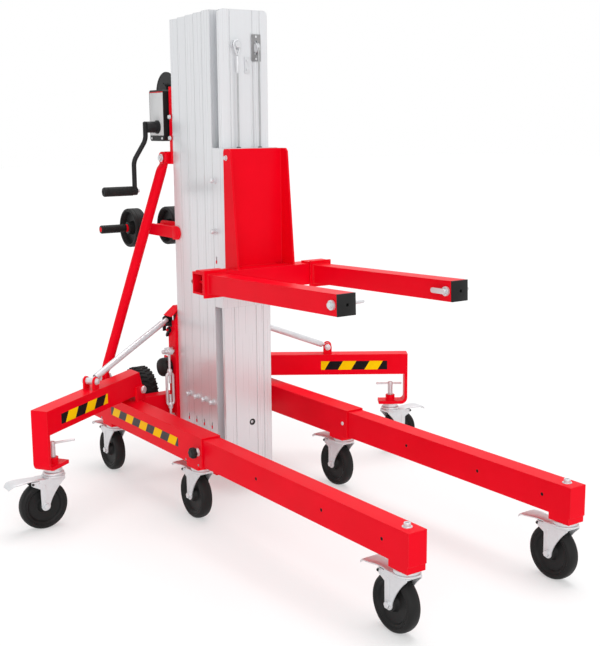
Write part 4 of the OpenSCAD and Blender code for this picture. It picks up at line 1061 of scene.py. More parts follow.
def crank_bar():
    """The bent bar with the hub at its top, and at its foot the boss and pin for the grip."""
    s = Shape()
    path = [on_crank(arm_x, -15 * mm), on_crank(arm_x, 0.2 * crank_drop),
            on_crank(end_x, 0.53 * crank_drop), on_crank(end_x, crank_drop + 8 * mm)]
    s.bend(rounded_path(path, 16 * mm, 8), bar_r, 24)
    dome_screw(s, path[0], (0, 0, 1), 2 * bar_r)
    hub = [(0, -20), (8, -20), (8, 0), (24, 0), (24, 5), (22.5, 6.2), (20, 6.5), (20, 45), (18.5, 47.5),
           (0, 48)]
    s.turn(in_mm(hub), facing(on_crank(hub_face, 0), (-1, 0, 0)), 44)
    end = facing(on_crank(end_x + 8 * mm, crank_drop), (-1, 0, 0))
    boss = [(0, 0), (13, 0), (15.2, 1.6), (15.8, 4), (15.8, 16.4), (0, 16.4)]
    s.turn(in_mm(boss), end, 40)
    pin = [(0, 0), (6, 0), (6, 129), (0, 129)]
    s.turn(in_mm(pin), end, 24)
    return s


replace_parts(crank_bar().piece("crank_bar", "crank", black_paint, "black_paint"), "crank")
nuts = Shape()
hex_screw(nuts, on_crank(end_x + bar_r, crank_drop), (1, 0, 0), 13 * mm, 8 * mm, 1.3)
nuts.piece("crank_nuts", "crank", zinc, "zinc_steel")
place = facing(on_crank(grip_high.x - grip_shift, crank_drop), (-1, 0, 0))
grip_long = grip_high.x - grip_low.x - 8 * mm
grip = ribbed_grip((grip_high.z - grip_low.z) / 2, grip_long, place, 2, 6.3 * mm)
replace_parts(grip.piece("crank_handle", "crank_grip", rubber, "black_rubber"), "crank_grip")
print("crank drop", round(crank_drop, 3), "m")

# %% [markdown]
# The lift rope runs from an eye on the front mast section, and back from a small sheave, down into the
# carriage. It is six strands laid round each other, so its outline is a six-lobed ring that turns as it
# rises.

# %% Lift rope
front_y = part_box("mast_section_5")[0].y
rope_low, rope_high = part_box("lift_cable")
rope_r = 3 * mm
carriage_low, carriage_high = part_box("carriage")
anchor_at = Vector((rope_low.x + rope_r, rope_high.y - rope_r, rope_high.z + 8 * mm))
sheave_at = pivot["sheave_spin"]
front_line = rope_low.y + rope_r
lay_length = 42 * mm
ferrule_top, ferrule_l = 37 * mm, 55 * mm


def laid_rope(s, top, bottom):
    """A straight rope of six laid strands."""
    length = (top - bottom).length
    count = int(length / (3 * mm))
    path = [top.lerp(bottom, i / count) for i in range(count + 1)]
    turns = length / lay_length * math.tau

    def lobes(angle, share):
        return rope_r * (0.86 + 0.14 * abs(math.cos(3 * (angle + turns * share))))

    s.bend(path, rope_r, 24, section=lobes)


strands = Shape()
lid = carriage_high.z
foot_z = lid - 8 * mm
laid_rope(strands, anchor_at - Vector((0, 0, ferrule_top)), Vector((anchor_at.x, anchor_at.y, foot_z)))
laid_rope(strands, Vector((sheave_at.x, front_line, sheave_at.z)),
          Vector((sheave_at.x, front_line, foot_z)))
rope = bpy.data.objects.new("lift_rope", strands.data("lift_rope", rope_metal))
bpy.context.scene.collection.objects.link(rope)
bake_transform(rope)
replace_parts(rope, "lift_cable")
print("rope strands", round(anchor_at.z - lid, 3), "m")

# %% [markdown]
# The rope ends in an eye round a stud, closed by a pressed ferrule, and both strands go through
# soft glands in the lid of the carriage. The eye is a bent ring, the rest is turned.

# %% Rope eye, ferrule and glands
eye, glands = Shape(), Shape()
loop = arc((0, 0), 13.5 * mm, -38, 218, 20) + in_mm([(-4.5, -27), (0, -34), (4.5, -27)])
eye.bend([anchor_at + Vector((x, 0, z)) for x, z in loop], 3.4 * mm, 14, closed=True)
ferrule = [(0, 0), (4.2, 0), (5.4, 3), (5.6, 8), (5.6, 46), (5.2, 51), (3.6, 55), (0, 55)]
eye.turn(in_mm(ferrule), facing(anchor_at - Vector((0, 0, ferrule_top)), (0, 0, -1)), 28)
stud_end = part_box("cable_fittings")[0].y + 8 * mm
dome_screw(eye, (anchor_at.x, stud_end, anchor_at.z), (0, -1, 0), 23 * mm)
eye.piece("rope_eye", "section_5", zinc, "zinc_steel")
gland = [(3.3, -2), (6.5, -2), (6.5, 0), (7.5, 0.6), (7.2, 2.2), (5, 3), (3.3, 2.6)]
for x, y in ((anchor_at.x, anchor_at.y), (sheave_at.x, front_line)):
    glands.turn(in_mm(gland), facing((x, y, lid), (0, 0, 1)), 28, closed=True)
glands.piece("rope_glands", "carriage", nylon, "black_plastic")
print("rope eye at", [round(c, 3) for c in anchor_at])

# %% [markdown]
# The sheave looks out of a window in a thin steel frame that two screws hold on the mast. Four
# strips make the frame, which is simpler than one plate with an opening.

# %% Frame of the sheave
face_y = front_y - 3 * mm
frame_half, frame_tall = 18 * mm, 44 * mm
window_half, window_tall = 6.2 * mm, 22 * mm
strips = ((-frame_half, -window_half, -frame_tall, frame_tall),
          (window_half, frame_half, -frame_tall, frame_tall),
          (-window_half, window_half, window_tall, frame_tall),
          (-window_half, window_half, -frame_tall, -window_tall))
sheave_frame, plate_screws = Shape(), Shape()
for x0, x1, z0, z1 in strips:
    sheave_frame.block((sheave_at.x + x0, face_y - 0.5 * mm, sheave_at.z + z0),
                       (sheave_at.x + x1, face_y + 0.1 * mm, sheave_at.z + z1), 0.2 * mm)
for z in (-36 * mm, 36 * mm):
    dome_screw(plate_screws, (sheave_at.x, face_y, sheave_at.z + z), (0, -1, 0), 8 * mm)
plate_screws.piece("sheave_screws", "section_5", zinc, "zinc_steel")
sheave_frame.piece("sheave_frame", "section_5", dark_steel, "zinc_steel")
print("sheave frame", round(2 * frame_tall, 3), "m tall")

# %% [markdown]
# Each moving section carries a zinc stud on both sides, which lifts the next one, and below it a
# red catch in a narrow slot. They are turned and cut once per section and ride on it.

# %% Studs and catches on the mast
section_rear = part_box("mast_section_1")[1].y
section_pitch = section_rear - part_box("mast_section_2")[1].y
stud_z, stud_back, catch_z, catch_back = 322 * mm, 27 * mm, 222 * mm, 15 * mm
stud = [(0, -6), (3.8, -6), (3.8, 0), (11, 0), (11, 2.4), (10, 3), (6.6, 3.2), (6.6, 9), (8.2, 10),
        (8.6, 13), (7.8, 16), (5.6, 18.4), (2.8, 19.6), (0, 20)]


def side_block(s, x0, x1, low, high, bevel):
    """A block between two x values in either order, and from low to high in (y, z)."""
    s.block((min(x0, x1), *low), (max(x0, x1), *high), bevel)


def add_catch(s, x, side, rear, z):
    """A red tongue that looks out of a slot in the side of the mast."""
    y = rear - catch_back
    side_block(s, x - side * 4 * mm, x + side * 1.8 * mm,
               (y - 2.4 * mm, z + 0.5 * mm), (y + 2.4 * mm, z + 11 * mm), 0.6 * mm)


for k in range(2, 6):
    low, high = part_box(f"mast_section_{k}")
    rear = section_rear - (k - 1) * section_pitch
    studs, catches = Shape(), Shape()
    for side, x in ((-1, low.x), (1, high.x)):
        studs.turn(in_mm(stud), facing((x, rear - stud_back, stud_z), (side, 0, 0)), 24)
        add_catch(catches, x, side, rear, catch_z)
    studs.piece(f"lift_studs_{k}", f"section_{k}", zinc, "zinc_steel")
    catches.piece(f"catches_{k}", f"section_{k}", red, "red_paint")
print("studs stand out", stud[-1][1], "mm")

# %% [markdown]
# The carriage has pegs of the same turned shape, a little longer, and catches of its own. On the
# front section a plastic bush with a metal plug fills the last open hole.

# %% Carriage pegs and front bush
peg_places, peg_back, tongue_z = (1100 * mm, 928 * mm), 14 * mm, 818 * mm
pegs, tongues, bush, plug = Shape(), Shape(), Shape(), Shape()
for side, x in ((-1, carriage_low.x), (1, carriage_high.x)):
    for z in peg_places:
        place = facing((x, carriage_high.y - peg_back, z), (side, 0, 0))
        pegs.turn([(r * mm, h * 1.1 * mm) for r, h in stud], place, 22)
    add_catch(tongues, x, side, carriage_high.y, tongue_z)
pegs.piece("carriage_pegs", "carriage", zinc, "zinc_steel")
tongues.piece("carriage_catches", "carriage", red, "red_paint")
bush_at = facing((13 * mm, front_y, 249 * mm), (0, -1, 0))
ring = [(6, -6), (8.8, -6), (8.8, 0), (11.6, 0), (11.6, 0.12), (7, 0.12), (6, -0.6)]
bush.turn(in_mm(ring), bush_at, 32, closed=True)
bush.piece("flange_bush", "section_5", nylon, "black_plastic")
plug.turn(in_mm([(0, -5.6), (6.2, -5.6), (6.2, -3), (4.8, -2.2), (0, -1.8)]), bush_at, 28)
plug.piece("bush_plug", "section_5", zinc, "zinc_steel")
print("pegs on each side of the carriage:", len(peg_places))

# %% [markdown]
# Hazard tape warns of the legs and the outriggers. It is a thin strip with rounded corners that
# lies on the paint, built flat in its own frame so that the printed bands follow its length.

# %% Hazard tape strips


def tape(name, body, finish, start, end, height, out):
    """A strip from start to end, standing on the side that faces out."""
    start, end = Vector(start), Vector(end)
    along = (end - start).normalized()
    up = Vector(out).normalized().cross(along)
    turn = Matrix((along, up, Vector(out).normalized())).transposed().to_4x4()
    length, r = (end - start).length, 1.5 * mm
    corners = ((length - r, height / 2 - r, 0), (r, height / 2 - r, 90), (r, r - height / 2, 180),
               (length - r, r - height / 2, 270))
    outline = [p for x, y, a in corners for p in arc((x, y), r, a, a + 90, 3)]
    s = Shape()
    s.plate(outline, -0.2 * mm, 0.35 * mm, Matrix(), 0.08 * mm)
    return s.piece(name, body, finish, "black_plastic", Matrix.Translation(start) @ turn)


def arm_ways(hand):
    """The hinge of an outrigger, and the ways outward along its arm and forward from its side."""
    hinge, tip = pivot[f"outrigger_{hand}_fold"], pivot[f"caster_side_{hand}_swivel"]
    outward = Vector((tip.x - hinge.x, tip.y - hinge.y, 0)).normalized()
    forward = (Vector((0, -1, 0)) + outward * outward.y).normalized()
    return hinge, outward, forward


print("left arm points", [round(c, 3) for c in arm_ways("left")[1]])

# %% [markdown]
# The two strips on the outriggers were cut from the roll at different places, so each has a print
# and a length of its own. On the left side a strip runs the other way, to keep its bands upright.

# %% Tape on legs and outriggers
leg_half, arm_half = 35 * mm, 30 * mm
leg_side = leg_x + leg_half
leg_tape_z, leg_tape_h, leg_run = 250.5 * mm, 31 * mm, (160 * mm, 676 * mm)
arm_tape_z, arm_tape_h = 357 * mm, 34 * mm
arm_cut = {"left": (arm_tape, (232, 520)), "right": (far_tape, (262, 520))}
for hand, side in hands.items():
    leg_ends = [(side * leg_side, y, leg_tape_z) for y in leg_run]
    hinge, outward, forward = arm_ways(hand)
    face = Vector((hinge.x, hinge.y, arm_tape_z)) + forward * arm_half
    arm_print, run = arm_cut[hand]
    arm_ends = [face + outward * d * mm for d in run]
    if side < 0:
        leg_ends.reverse()
        arm_ends.reverse()
    tape(f"leg_tape_{hand}", "base", leg_tape, *leg_ends, leg_tape_h, (side, 0, 0))
    tape(f"arm_tape_{hand}", f"outrigger_{hand}", arm_print, *arm_ends, arm_tape_h, forward)
print("tape on each leg", round(leg_run[1] - leg_run[0], 3), "m")

# %% [markdown]
# A levelling jack is a screw through the outrigger's foot, turned with a loose tommy bar. The thread
# is a row of turned ridges: a real helix looks the same at this size and costs far more faces.

# %% Jacks
stem_r, disc_r, disc_edge = 7.3 * mm, 29 * mm, 1.5 * mm
bar_turn = math.radians(-34)
bar_knob = in_mm([(0, 0), (2.6, 0.2), (4.3, 1.6), (4.6, 3.6), (4.3, 6), (3.9, 7)])


def ridges(low, high, outer, core, pitch):
    """The (radius, height) points of a thread."""
    points = []
    for i in range(int((high - low) / pitch)):
        z = low + i * pitch
        ridge = ((core, 0), (outer, 0.3), (outer, 0.5), (core, 0.8))
        points += [(r, z + share * pitch) for r, share in ridge]
    return points


def jack_profile(low, high, bar_z):
    """The (radius, height) points of a jack: hollow foot, disc, thread and head."""
    stem_top, disc_top, inner_r = low + 15 * mm, low + 14.4 * mm, disc_r - disc_edge
    foot = [(0, stem_top), (stem_r, stem_top), (stem_r, low), (inner_r, low), (disc_r, low + disc_edge)]
    disc = [(disc_r, disc_top - disc_edge), (inner_r, disc_top), (10 * mm, disc_top)]
    thread = ridges(disc_top + 1 * mm, bar_z - 7 * mm, 10 * mm, 8.9 * mm, 4 * mm)
    head = [(r * mm, bar_z + z * mm) for r, z in ((9.7, -7), (9.7, 4), (8.4, 6.8))]
    return foot + disc + thread + head + [(5 * mm, high - 0.2 * mm), (0, high)]


for hand, side in hands.items():
    low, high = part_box(f"jack_{hand}")
    post = pivot[f"caster_side_{hand}_swivel"]
    bar_z = high.z - 8 * mm
    screw = Shape()
    screw.turn(jack_profile(low.z, high.z, bar_z), Matrix.Translation((post.x, post.y, 0)), 40)
    left, right = (post.x - 22 * mm, high.x) if side < 0 else (low.x, post.x + 44.4 * mm)
    length = right - left
    bar = bar_knob + [(r, length - z) for r, z in reversed(bar_knob)]
    turned = Matrix.Rotation(0 if side < 0 else bar_turn, 4, "Z")
    swing = Matrix.Translation(post) @ turned @ Matrix.Translation(-post)
    screw.turn(bar, swing @ facing((left, post.y, bar_z), (1, 0, 0)), 24)
    screw = screw.piece(f"jack_screw_{hand}", f"jack_{hand}", zinc, "zinc_steel")
    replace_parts(screw, f"jack_{hand}")
print("jack bar", round(length, 3), "m")

# %% [markdown]
# A turnbuckle on each side pulls the post tight to the base. It is a forged frame, open in the
# middle so that both threaded rods can be seen, and it is bent here from one closed ring of rod.
# Beside it a rubber buffer stops the folded outrigger.

# %% Turnbuckles and buffers
buckle_low, buckle_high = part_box("turnbuckles")
buckle_x, buckle_y = buckle_high.x - 17 * mm, (buckle_low.y + buckle_high.y) / 2
eye_low, eye_high = buckle_low.z + 14 * mm, buckle_high.z - 14 * mm
frame_low, frame_high = 258.5 * mm, 389.5 * mm
rod_r, rod_core, rod_pitch = 5 * mm, 4.4 * mm, 3 * mm
neck = [(5.1, -9), (7.6, -9), (9, -5), (9.4, 4), (8.2, 11), (6.4, 15), (5.1, 15)]
hoop = [(5.2, -5.4), (11.6, -5.4), (14, -3.4), (14, 3.4), (11.6, 5.4), (5.2, 5.4)]


def turnbuckle(s, x):
    """The open frame, with a neck, a threaded rod and an eye at both of its ends."""
    place = Matrix.Translation((x, buckle_y, 0))
    frame_r, half = 5 * mm, 13.2 * mm
    ring = arc((0, frame_high - half - frame_r), half, 0, 180, 14)
    ring += arc((0, frame_low + half + frame_r), half, 180, 360, 14)
    s.bend([(x + a, buckle_y, z) for a, z in ring], frame_r, 16, closed=True)
    for start, way, eye_z in ((frame_low, 1, eye_low), (frame_high, -1, eye_high)):
        s.turn([(r * mm, start + way * z * mm) for r, z in neck], place, 28, closed=True)
        low, high = sorted((eye_z + way * 11 * mm, start + way * 44 * mm))
        thread = ridges(low, high, rod_r, rod_core, rod_pitch)
        s.turn([(0, low)] + thread + [(rod_core, high), (0, high)], place, 20)
        s.turn(in_mm(hoop), facing((x, buckle_y, eye_z), (0, 1, 0)), 32, closed=True)


buckles, buckle_bolts, buffers = Shape(), Shape(), Shape()
post_side, buffer_y, buffer_z = 112 * mm, 617 * mm, 399 * mm
pad = [(0, 0), (33, 0), (35, 2), (35, 22), (34, 30), (30, 36.5), (22, 39.6), (0, 40.5)]
for side in hands.values():
    turnbuckle(buckles, side * buckle_x)
    for z in (eye_low, eye_high):
        bolt_at = (side * buckle_x, buckle_low.y - 0.1 * mm, z)
        hex_screw(buckle_bolts, bolt_at, (0, -1, 0), 19 * mm, 9 * mm, 1.2)
    buffers.turn(in_mm(pad), facing((side * post_side, buffer_y, buffer_z), (side, 0, 0)), 40)
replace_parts(buckles.piece("buckle_frames", "base", zinc, "zinc_steel"), "turnbuckles")
buckle_bolts.piece("buckle_bolts", "base", zinc, "zinc_steel")
buffers.piece("post_buffers", "base", rubber, "black_rubber")
print("turnbuckles at", round(buckle_x, 3), "m")

# %% [markdown]
# The hand knobs are moulded with lobes, so that they turn with oily fingers. A ring whose radius
# swells a few times round, drawn at several heights, gives a soft one in a single skin.

# %% Hand knobs
knob_side = [(0.80, 0.0), (0.96, 0.05), (1.0, 0.2), (1.0, 0.62), (0.95, 0.82), (0.82, 0.94), (0.6, 1.0),
             (0.35, 0.97)]
knob_r, knob_tall, clamp_r, clamp_tall = 17 * mm, 20 * mm, 20.2 * mm, 22.8 * mm
clamp_stud_x, clamp_stud_z = 225 * mm, 779 * mm


def lobed_knob(s, place, r, height, lobes, swell):
    """A knob that stands on a place, with its side given as shares of the radius and the height."""
    angles = [k * math.tau / 72 for k in range(72)]
    size = [r * (1 + swell * math.cos(lobes * a)) for a in angles]
    rings = []
    for share, z in knob_side:
        ring = [(share * q * math.cos(a), share * q * math.sin(a)) for q, a in zip(size, angles)]
        rings.append([place @ Vector((x, y, z * height)) for x, y in ring])
    s.skin(rings)


boss = [(11.1, 0), (13.6, 0), (13.6, 2), (12.6, 2.6), (12.6, 7.4), (11.9, 8.8), (11.1, 8.8)]
collars = Shape()
for hand, side in hands.items():
    low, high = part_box(f"index_knob_{hand}")
    centre = (low + high) / 2
    outer, inner = (low.x, high.x) if side < 0 else (high.x, low.x)
    back = outer - side * knob_tall
    reach = abs(inner - back)
    knob = Shape()
    lobed_knob(knob, facing((back, centre.y, centre.z), (side, 0, 0)), knob_r, knob_tall, 6, 0.085)
    knob.turn([(0, 0), (4 * mm, 0), (4 * mm, reach), (0, reach)],
              facing((back + side * mm, centre.y, centre.z), (-side, 0, 0)), 20)
    knob = knob.piece(f"plunger_knob_{hand}", f"index_knob_{hand}", nylon, "black_plastic")
    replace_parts(knob, f"index_knob_{hand}")
    place = facing((side * leg_side, centre.y, centre.z), (side, 0, 0))
    collars.turn(in_mm(boss), place, 32, closed=True)
    dome_screw(collars, (side * (leg_x - leg_half), centre.y, centre.z), (-side, 0, 0), 14 * mm)
    clamp_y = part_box(f"fork_arm_{hand}")[1].y - 22.15 * mm
    grip = Shape()
    place = facing((side * clamp_stud_x, clamp_y, clamp_stud_z), (0, 1, 0))
    lobed_knob(grip, place, clamp_r, clamp_tall, 7, 0.03)
    grip.piece(f"clamp_knob_{hand}", f"fork_{hand}", nylon, "black_plastic")
collars.piece("plunger_collars", "base", zinc, "zinc_steel")
print("knobs on", len(hands), "legs and forks")

# %% [markdown]
# The post behind the mast ends in a folded roof that shelters the latches. A latch is a short lever
# on a pin: pressed, it lets go of the stay. Levers, ears and tabs like these are strips of plate
# with round ends, so one small outline serves them all, seen from the side of the hoist.

# %% Post head and latch levers
roof_inside = ((-99 * mm, 566 * mm, 560 * mm), (99 * mm, 598 * mm, 612 * mm))
latch_lean, latch_reach, latch_hip = math.radians(35), 27 * mm, 14 * mm
latch_hub = [(4.3, -5), (9.6, -5), (10.5, -4), (10.5, 4), (9.6, 5), (4.3, 5)]


def strip(start, end, half):
    """The outline of a strip of plate with round ends."""
    start, end = Vector(start), Vector(end)
    lean = math.degrees(math.atan2(end.y - start.y, end.x - start.x))
    return arc(end, half, lean - 90, lean + 90) + arc(start, half, lean + 90, lean + 270)


# painted shade: a dark red block fills the inside of the roof, where there is only shade
post_head = Shape()
post_head.block(*roof_inside, 2 * mm)
post_head.piece("post_head", "base", shaded_red, "red_paint")
for hand in hands:
    at = pivot[f"latch_{hand}_press"]
    low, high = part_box(f"latch_{hand}")
    lever = Shape()
    lever.turn(in_mm(latch_hub), facing(at, (1, 0, 0)), 32, closed=True)
    hip, tip = ((at.y + math.sin(latch_lean) * d, at.z - math.cos(latch_lean) * d)
                for d in (latch_hip, latch_reach))
    side_plate(lever, strip(hip, tip, 5.5 * mm), low.x + 1 * mm, high.x - 1 * mm, 1.5 * mm)
    lever = lever.piece(f"latch_lever_{hand}", f"latch_{hand}", black_paint, "black_paint")
    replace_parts(lever, f"latch_{hand}")
print("latch levers reach", round(latch_reach, 3), "m")

# %% [markdown]
# A black cover stands behind each latch, folded from sheet: a stepped front, a short tab and a side
# wall against the post. Three thin plates are enough, because the folds are hardly rounded.

# %% Latch covers
cover_front = [(-137, 537), (-122.8, 537), (-122.8, 553), (-112.1, 553), (-112.1, 594), (-128, 594),
               (-137, 587)]
cover_wall = [(584, 553), (611, 553), (611, 600), (590, 600), (584, 590)]
front_view = Matrix.Rotation(math.pi / 2, 4, "X")
covers = Shape()
for side in hands.values():
    covers.plate([(-side * x * mm, z * mm) for x, z in cover_front], -611 * mm, -609 * mm, front_view,
                 0.4 * mm)
    side_block(covers, side * 112.2 * mm, side * 137 * mm,
               (586.8 * mm, 559.8 * mm), (588.3 * mm, 570.8 * mm), 0.4 * mm)
    side_plate(covers, in_mm(cover_wall), side * 109 * mm, side * 112.25 * mm, 0.1 * mm)
covers.piece("latch_covers", "base", black_paint, "black_paint")
print("a cover for each of", len(hands), "latches")

# %% [markdown]
# A stay is a tube on a thinner rod, between the outrigger and the post. The rod is part of the packed
# model, so only the sleeve is turned here, with the nuts of the pin at its foot. The hinge pin of
# the outrigger gets turned caps.

# %% Stays and hinge caps
stay_head = Vector((126 * mm, 598.5 * mm, 580 * mm))
sleeve_start, sleeve_gap = 23, 27
hinge_cap = [(0, 0), (13.6, 0), (13.6, 6.8), (12.2, 8.8), (0, 9.2)]
bolts = Shape()
for hand, side in hands.items():
    hinge, _, forward = arm_ways(hand)
    foot = pivot[f"stay_{hand}_swing"]
    head = Vector((side * stay_head.x, stay_head.y, stay_head.z))
    run = (head - foot).length
    start, end = sleeve_start, run / mm - sleeve_gap
    tube = [(9.1, start), (10.6, start), (11.6, start + 2), (11.6, end - 3), (10.6, end), (9.1, end)]
    sleeve, pins = Shape(), Shape()
    sleeve.turn(in_mm(tube), facing(foot, head - foot), 36, closed=True)
    sleeve.piece(f"stay_tube_{hand}", f"stay_{hand}", zinc, "zinc_steel")
    for way in (-forward, forward):
        hex_screw(pins, foot + way * 22.1 * mm, way, 17 * mm, 8.4 * mm, 1.4)
        bolts.turn(in_mm(hinge_cap), facing(hinge + way * 38 * mm, way), 36)
    pins.piece(f"stay_pins_{hand}", f"outrigger_{hand}", zinc, "zinc_steel")
print("stay tube", round(run, 3), "m")

# %% [markdown]
# The turnbuckles hang on cross pins in the sides of the post, and ordinary bolts hold the lugs, the
# legs and the carriage plates. They stand on the base or on the carriage, and ride with it.

# %% Cross pins, bolts and screws
cross_pin = [(0, 0), (5, 0), (5, 28), (8.4, 28), (8.8, 29), (8.8, 36), (7.4, 38.5), (5, 39), (5, 42),
             (8, 42.4), (8, 47), (6, 48.4), (0, 48.6)]
lug_y, lug_bolts = 569 * mm, (1314 * mm, 1240 * mm)
leg_screw_z, leg_screws = 206 * mm, (760 * mm, 109 * mm, 26 * mm)
gusset_bolt = Vector((114 * mm, 171 * mm, 1178 * mm))
dark_bolts, gusset_bolts = Shape(), Shape()
for side in hands.values():
    out = (side, 0, 0)
    for z in (eye_low, eye_high):
        side_block(bolts, side * 112.4 * mm, side * 145.2 * mm,
                   (579.8 * mm, z - 12.6 * mm), (588.8 * mm, z + 12.6 * mm), 2 * mm)
        bolts.turn(in_mm(cross_pin), facing((side * 112.5 * mm, 574 * mm, z), out), 24)
    for z in lug_bolts:
        hex_screw(bolts, (-side * lug_face, lug_y, z), out, 13 * mm, 6 * mm, 1.25)
    for y in leg_screws:
        dome_screw(dark_bolts, (side * leg_side, y, leg_screw_z), out, 7 * mm)
    bolt_at = (side * gusset_bolt.x, gusset_bolt.y, gusset_bolt.z)
    hex_screw(gusset_bolts, bolt_at, out, 13 * mm, 7 * mm, 1.4)
bolts.piece("base_bolts", "base", zinc, "zinc_steel")
dark_bolts.piece("leg_screws", "base", dark_steel, "zinc_steel")
gusset_bolts.piece("gusset_bolts", "carriage", zinc, "zinc_steel")
print("bolts on each lug:", len(lug_bolts), "screws on each leg:", len(leg_screws))

# %% [markdown]
# Each brace meets the winch bracket in a clevis: a strip with a round end and a plate that joins it
# to the bracket. Below it are a plain ear and the plate behind the buffer, all in red paint.

# %% Ears and clevises
clevis_y, clevis_half, clevis_out = 588 * mm, 22 * mm, 14 * mm
ear = arc((541.5 * mm, 902.5 * mm), 24.5 * mm, 90, 270) + in_mm([(573, 878), (573, 927)])
red_bits = Shape()
for side in hands.values():
    eye_at = brace_ends(side)[1]
    outer_x = eye_at.x + side * clevis_out
    tab = strip((clevis_y, eye_at.z), (eye_at.y, eye_at.z), clevis_half)
    side_plate(red_bits, tab, eye_at.x + side * 7.2 * mm, outer_x, 1.2 * mm)
    side_block(red_bits, side * 100 * mm, outer_x, (582.5 * mm, eye_at.z - clevis_half),
               (clevis_y, eye_at.z + clevis_half), 1.2 * mm)
    side_plate(red_bits, ear, side * 100.3 * mm, side * 106 * mm, 1.2 * mm)
    side_block(red_bits, side * 106 * mm, side * post_side,
               (600 * mm, 362 * mm), (655 * mm, 436 * mm), 1.5 * mm)
red_bits.piece("ears_and_clevises", "base", red, "red_paint")
print("clevis eye", round(2 * clevis_half, 3), "m across")

# %% [markdown]
# On a front leg a socket head screw holds the caster from above, and a row of index holes takes the
# plunger. The holes are real, and a dark ring set inside each is painted shade that makes them read as
# deep.

# %% Leg screws and painted shade in the holes
knob_low, knob_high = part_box("index_knob_left")
hole_z = (knob_low.z + knob_high.z) / 2
hole_places = (105 * mm, 367 * mm, 698 * mm)
# painted shade: a dark ring set inside each index hole
hole_shade_ring = [(4.2, -0.2), (4.85, -0.2), (4.85, -3.8), (0, -3.8), (0, -3.2), (4.2, -3.2)]
for hand in hands:
    swivel_at = pivot[f"caster_front_{hand}_swivel"]
    ext_low, ext_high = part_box(f"leg_extension_{hand}")
    top_screw, hole_shades = Shape(), Shape()
    cap_screw(top_screw, (swivel_at.x, swivel_at.y, ext_high.z), (0, 0, 1), 19 * mm)
    top_screw.piece(f"swivel_screw_{hand}", f"extension_{hand}", zinc, "zinc_steel")
    for back in hole_places:
        for x, way in ((ext_low.x, -1), (ext_high.x, 1)):
            place = facing((x, ext_low.y + back, hole_z), (way, 0, 0))
            hole_shades.turn(in_mm(hole_shade_ring), place, 24, closed=True)
    hole_shades.piece(f"index_hole_shades_{hand}", f"extension_{hand}", nylon, "black_plastic")
print("index holes shaded on each leg:", 2 * len(hole_places))

# %% [markdown]
# The forks end in moulded caps, pressed up to a low point with a hole in it, and a detent pin
# keeps a fork where it was set. One of the pins has a small lever for pulling it.

# %% Fork cap points
fork_tilt = math.radians(1.8)
cap_half = 30.6 * mm
square = [(-1, -1), (1, -1), (1, 1), (-1, 1)]
cap_steps = [(cap_half, -0.5), (cap_half, 0.4), (cap_half - 1.2 * mm, 1.2), (5.2 * mm, 3.4),
             (4.4 * mm, 3.4), (4.2 * mm, -0.5)]
ahead = Vector((0, -math.cos(fork_tilt), math.sin(fork_tilt)))
for hand in hands:
    low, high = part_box(f"fork_cap_{hand}")
    middle = (low + high) / 2
    face = facing((middle.x, low.y + cap_half * math.sin(fork_tilt), middle.z), ahead)
    point = Shape()
    point.skin([[face @ Vector((a * r, b * r, z * mm)) for a, b in square] for r, z in cap_steps])
    point.piece(f"cap_point_{hand}", f"fork_{hand}", nylon, "black_plastic")
print("fork caps", round(2 * cap_half, 3), "m across")

# %% [markdown]
# The pins are plain turned rods, of which only the ends show: a flat rim on both, a rounded tail on
# the left one, and on the right one the lever, which is again a strip of plate.

# %% Fork pin ends
pin_tail = [(0, -1), (4.9, -1), (4.9, 20), (4.2, 23.4), (2.6, 25), (0, 25.4)]
pin_rim = [(0, 0), (8.5, 0), (8.5, 0.8), (6.5, 1.6), (0, 1.6)]
lever_long, lever_drop = 46 * mm, 1 * mm
for hand, side in hands.items():
    low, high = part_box(f"fork_pin_{hand}")
    centre = (low + high) / 2
    pin = Shape()
    if side < 0:
        pin.turn(in_mm(pin_tail), facing((high.x, centre.y, centre.z), (1, 0, 0)), 24)
    pin.turn(in_mm(pin_rim), facing((low.x + 0.4 * mm, centre.y, centre.z), (-1, 0, 0)), 28)
    if side > 0:
        lever = strip((centre.y, centre.z), (centre.y + lever_long, centre.z - lever_drop), 8 * mm)
        side_plate(pin, lever, low.x - 2.4 * mm, low.x + 0.6 * mm, 0.7 * mm)
        dome_screw(pin, (low.x - 2.4 * mm, centre.y + 24 * mm, centre.z), (-1, 0, 0), 5 * mm)
    pin.piece(f"pin_ends_{hand}", f"fork_pin_{hand}", zinc, "zinc_steel")
print("pull lever", round(lever_long, 3), "m")

# %% [markdown]
# On the winch a plain pale plate covers the gear case, with a narrow red band above it and two
# rivets below. Both are thin blocks that stand a little off the paint.

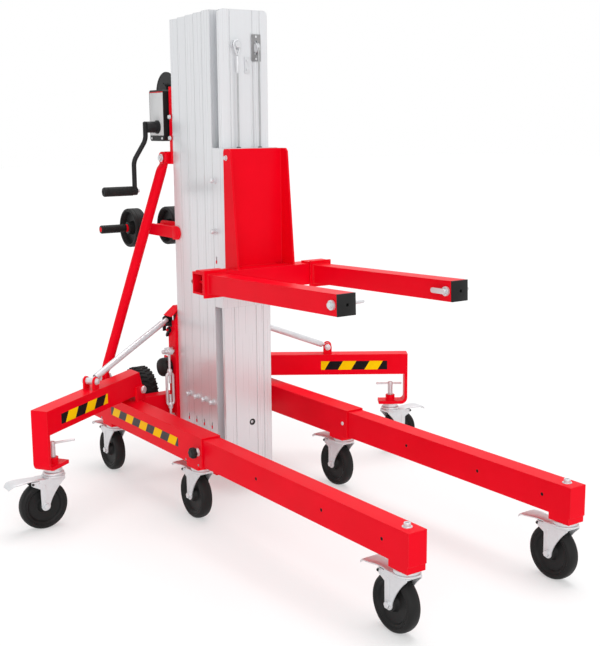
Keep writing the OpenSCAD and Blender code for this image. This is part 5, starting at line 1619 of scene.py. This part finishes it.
# %% Winch plate
plate_y, plate_z, band_z = (599 * mm, 701 * mm), (1249 * mm, 1400 * mm), (1400.5 * mm, 1404 * mm)
rivet_z, rivet_places = 1239 * mm, (612 * mm, 690 * mm)
sheet, band, marks = Shape(), Shape(), Shape()
front, back = case_low.x - 0.3 * mm, case_low.x + 0.1 * mm
for s, (bottom, top) in ((sheet, plate_z), (band, band_z)):
    s.block((front, plate_y[0], bottom), (back, plate_y[1], top), 0.1 * mm)
sheet.piece("winch_plate", "base", pale_sheet, "anodised_aluminium")
band.piece("winch_band", "base", red, "red_paint")
for y in rivet_places:
    dome_screw(marks, (case_low.x, y, rivet_z), (-1, 0, 0), 9 * mm)
marks.piece("winch_rivets", "base", zinc, "zinc_steel")
print("winch plate", round(plate_z[1] - plate_z[0], 3), "m tall")

# %% [markdown]
# The drum cheek is a pressing with a raised rim and a boss held by three rivets, and the barrel has
# grooves that lay the rope side by side. The grooves are turned ridges, like the threads.

# %% Drum cheeks and grooves
drum_low, drum_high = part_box("winch_drum")
drum_at = pivot["drum_turn"]
cheek_r, cheek_face, rivet_ring = (drum_high.z - drum_low.z) / 2, 50 * mm, 38 * mm
cheek_rim = [(cheek_r - a * mm, z * mm) for a, z in ((6, -0.3), (1.2, -0.3), (1.6, 1), (5.4, 1))]
cheek_boss = in_mm([(0, -0.3), (24, -0.3), (22.6, 1.2), (0, 1.4)])
cheek, grooves = Shape(), Shape()
for way in (-1, 1):
    place = facing((way * cheek_face, drum_at.y, drum_at.z), (way, 0, 0))
    cheek.turn(cheek_rim, place, 72, closed=True)
    cheek.turn(cheek_boss, place, 48)
    for spot in ring_of(3, place, rivet_ring):
        dome_screw(cheek, spot.translation, (way, 0, 0), 9 * mm)
cheek.piece("drum_cheeks", "drum", black_paint, "black_paint")
barrel_r, barrel_half = 35 * mm, 44.6 * mm
turns = ridges(-barrel_half, barrel_half, barrel_r + 1.6 * mm, barrel_r + 0.3 * mm, 6 * mm)
inside = [(barrel_r - 1 * mm, barrel_half), (barrel_r - 1 * mm, -barrel_half)]
grooves.turn(turns + inside, facing(drum_at, (1, 0, 0)), 56, closed=True)
grooves.piece("drum_grooves", "drum", dark_steel, "zinc_steel")
print("drum cheek", round(2 * cheek_r, 3), "m across")

# %% Sizes and finish
low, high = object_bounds()
print("size", [round(h - l, 4) for l, h in zip(low, high)])
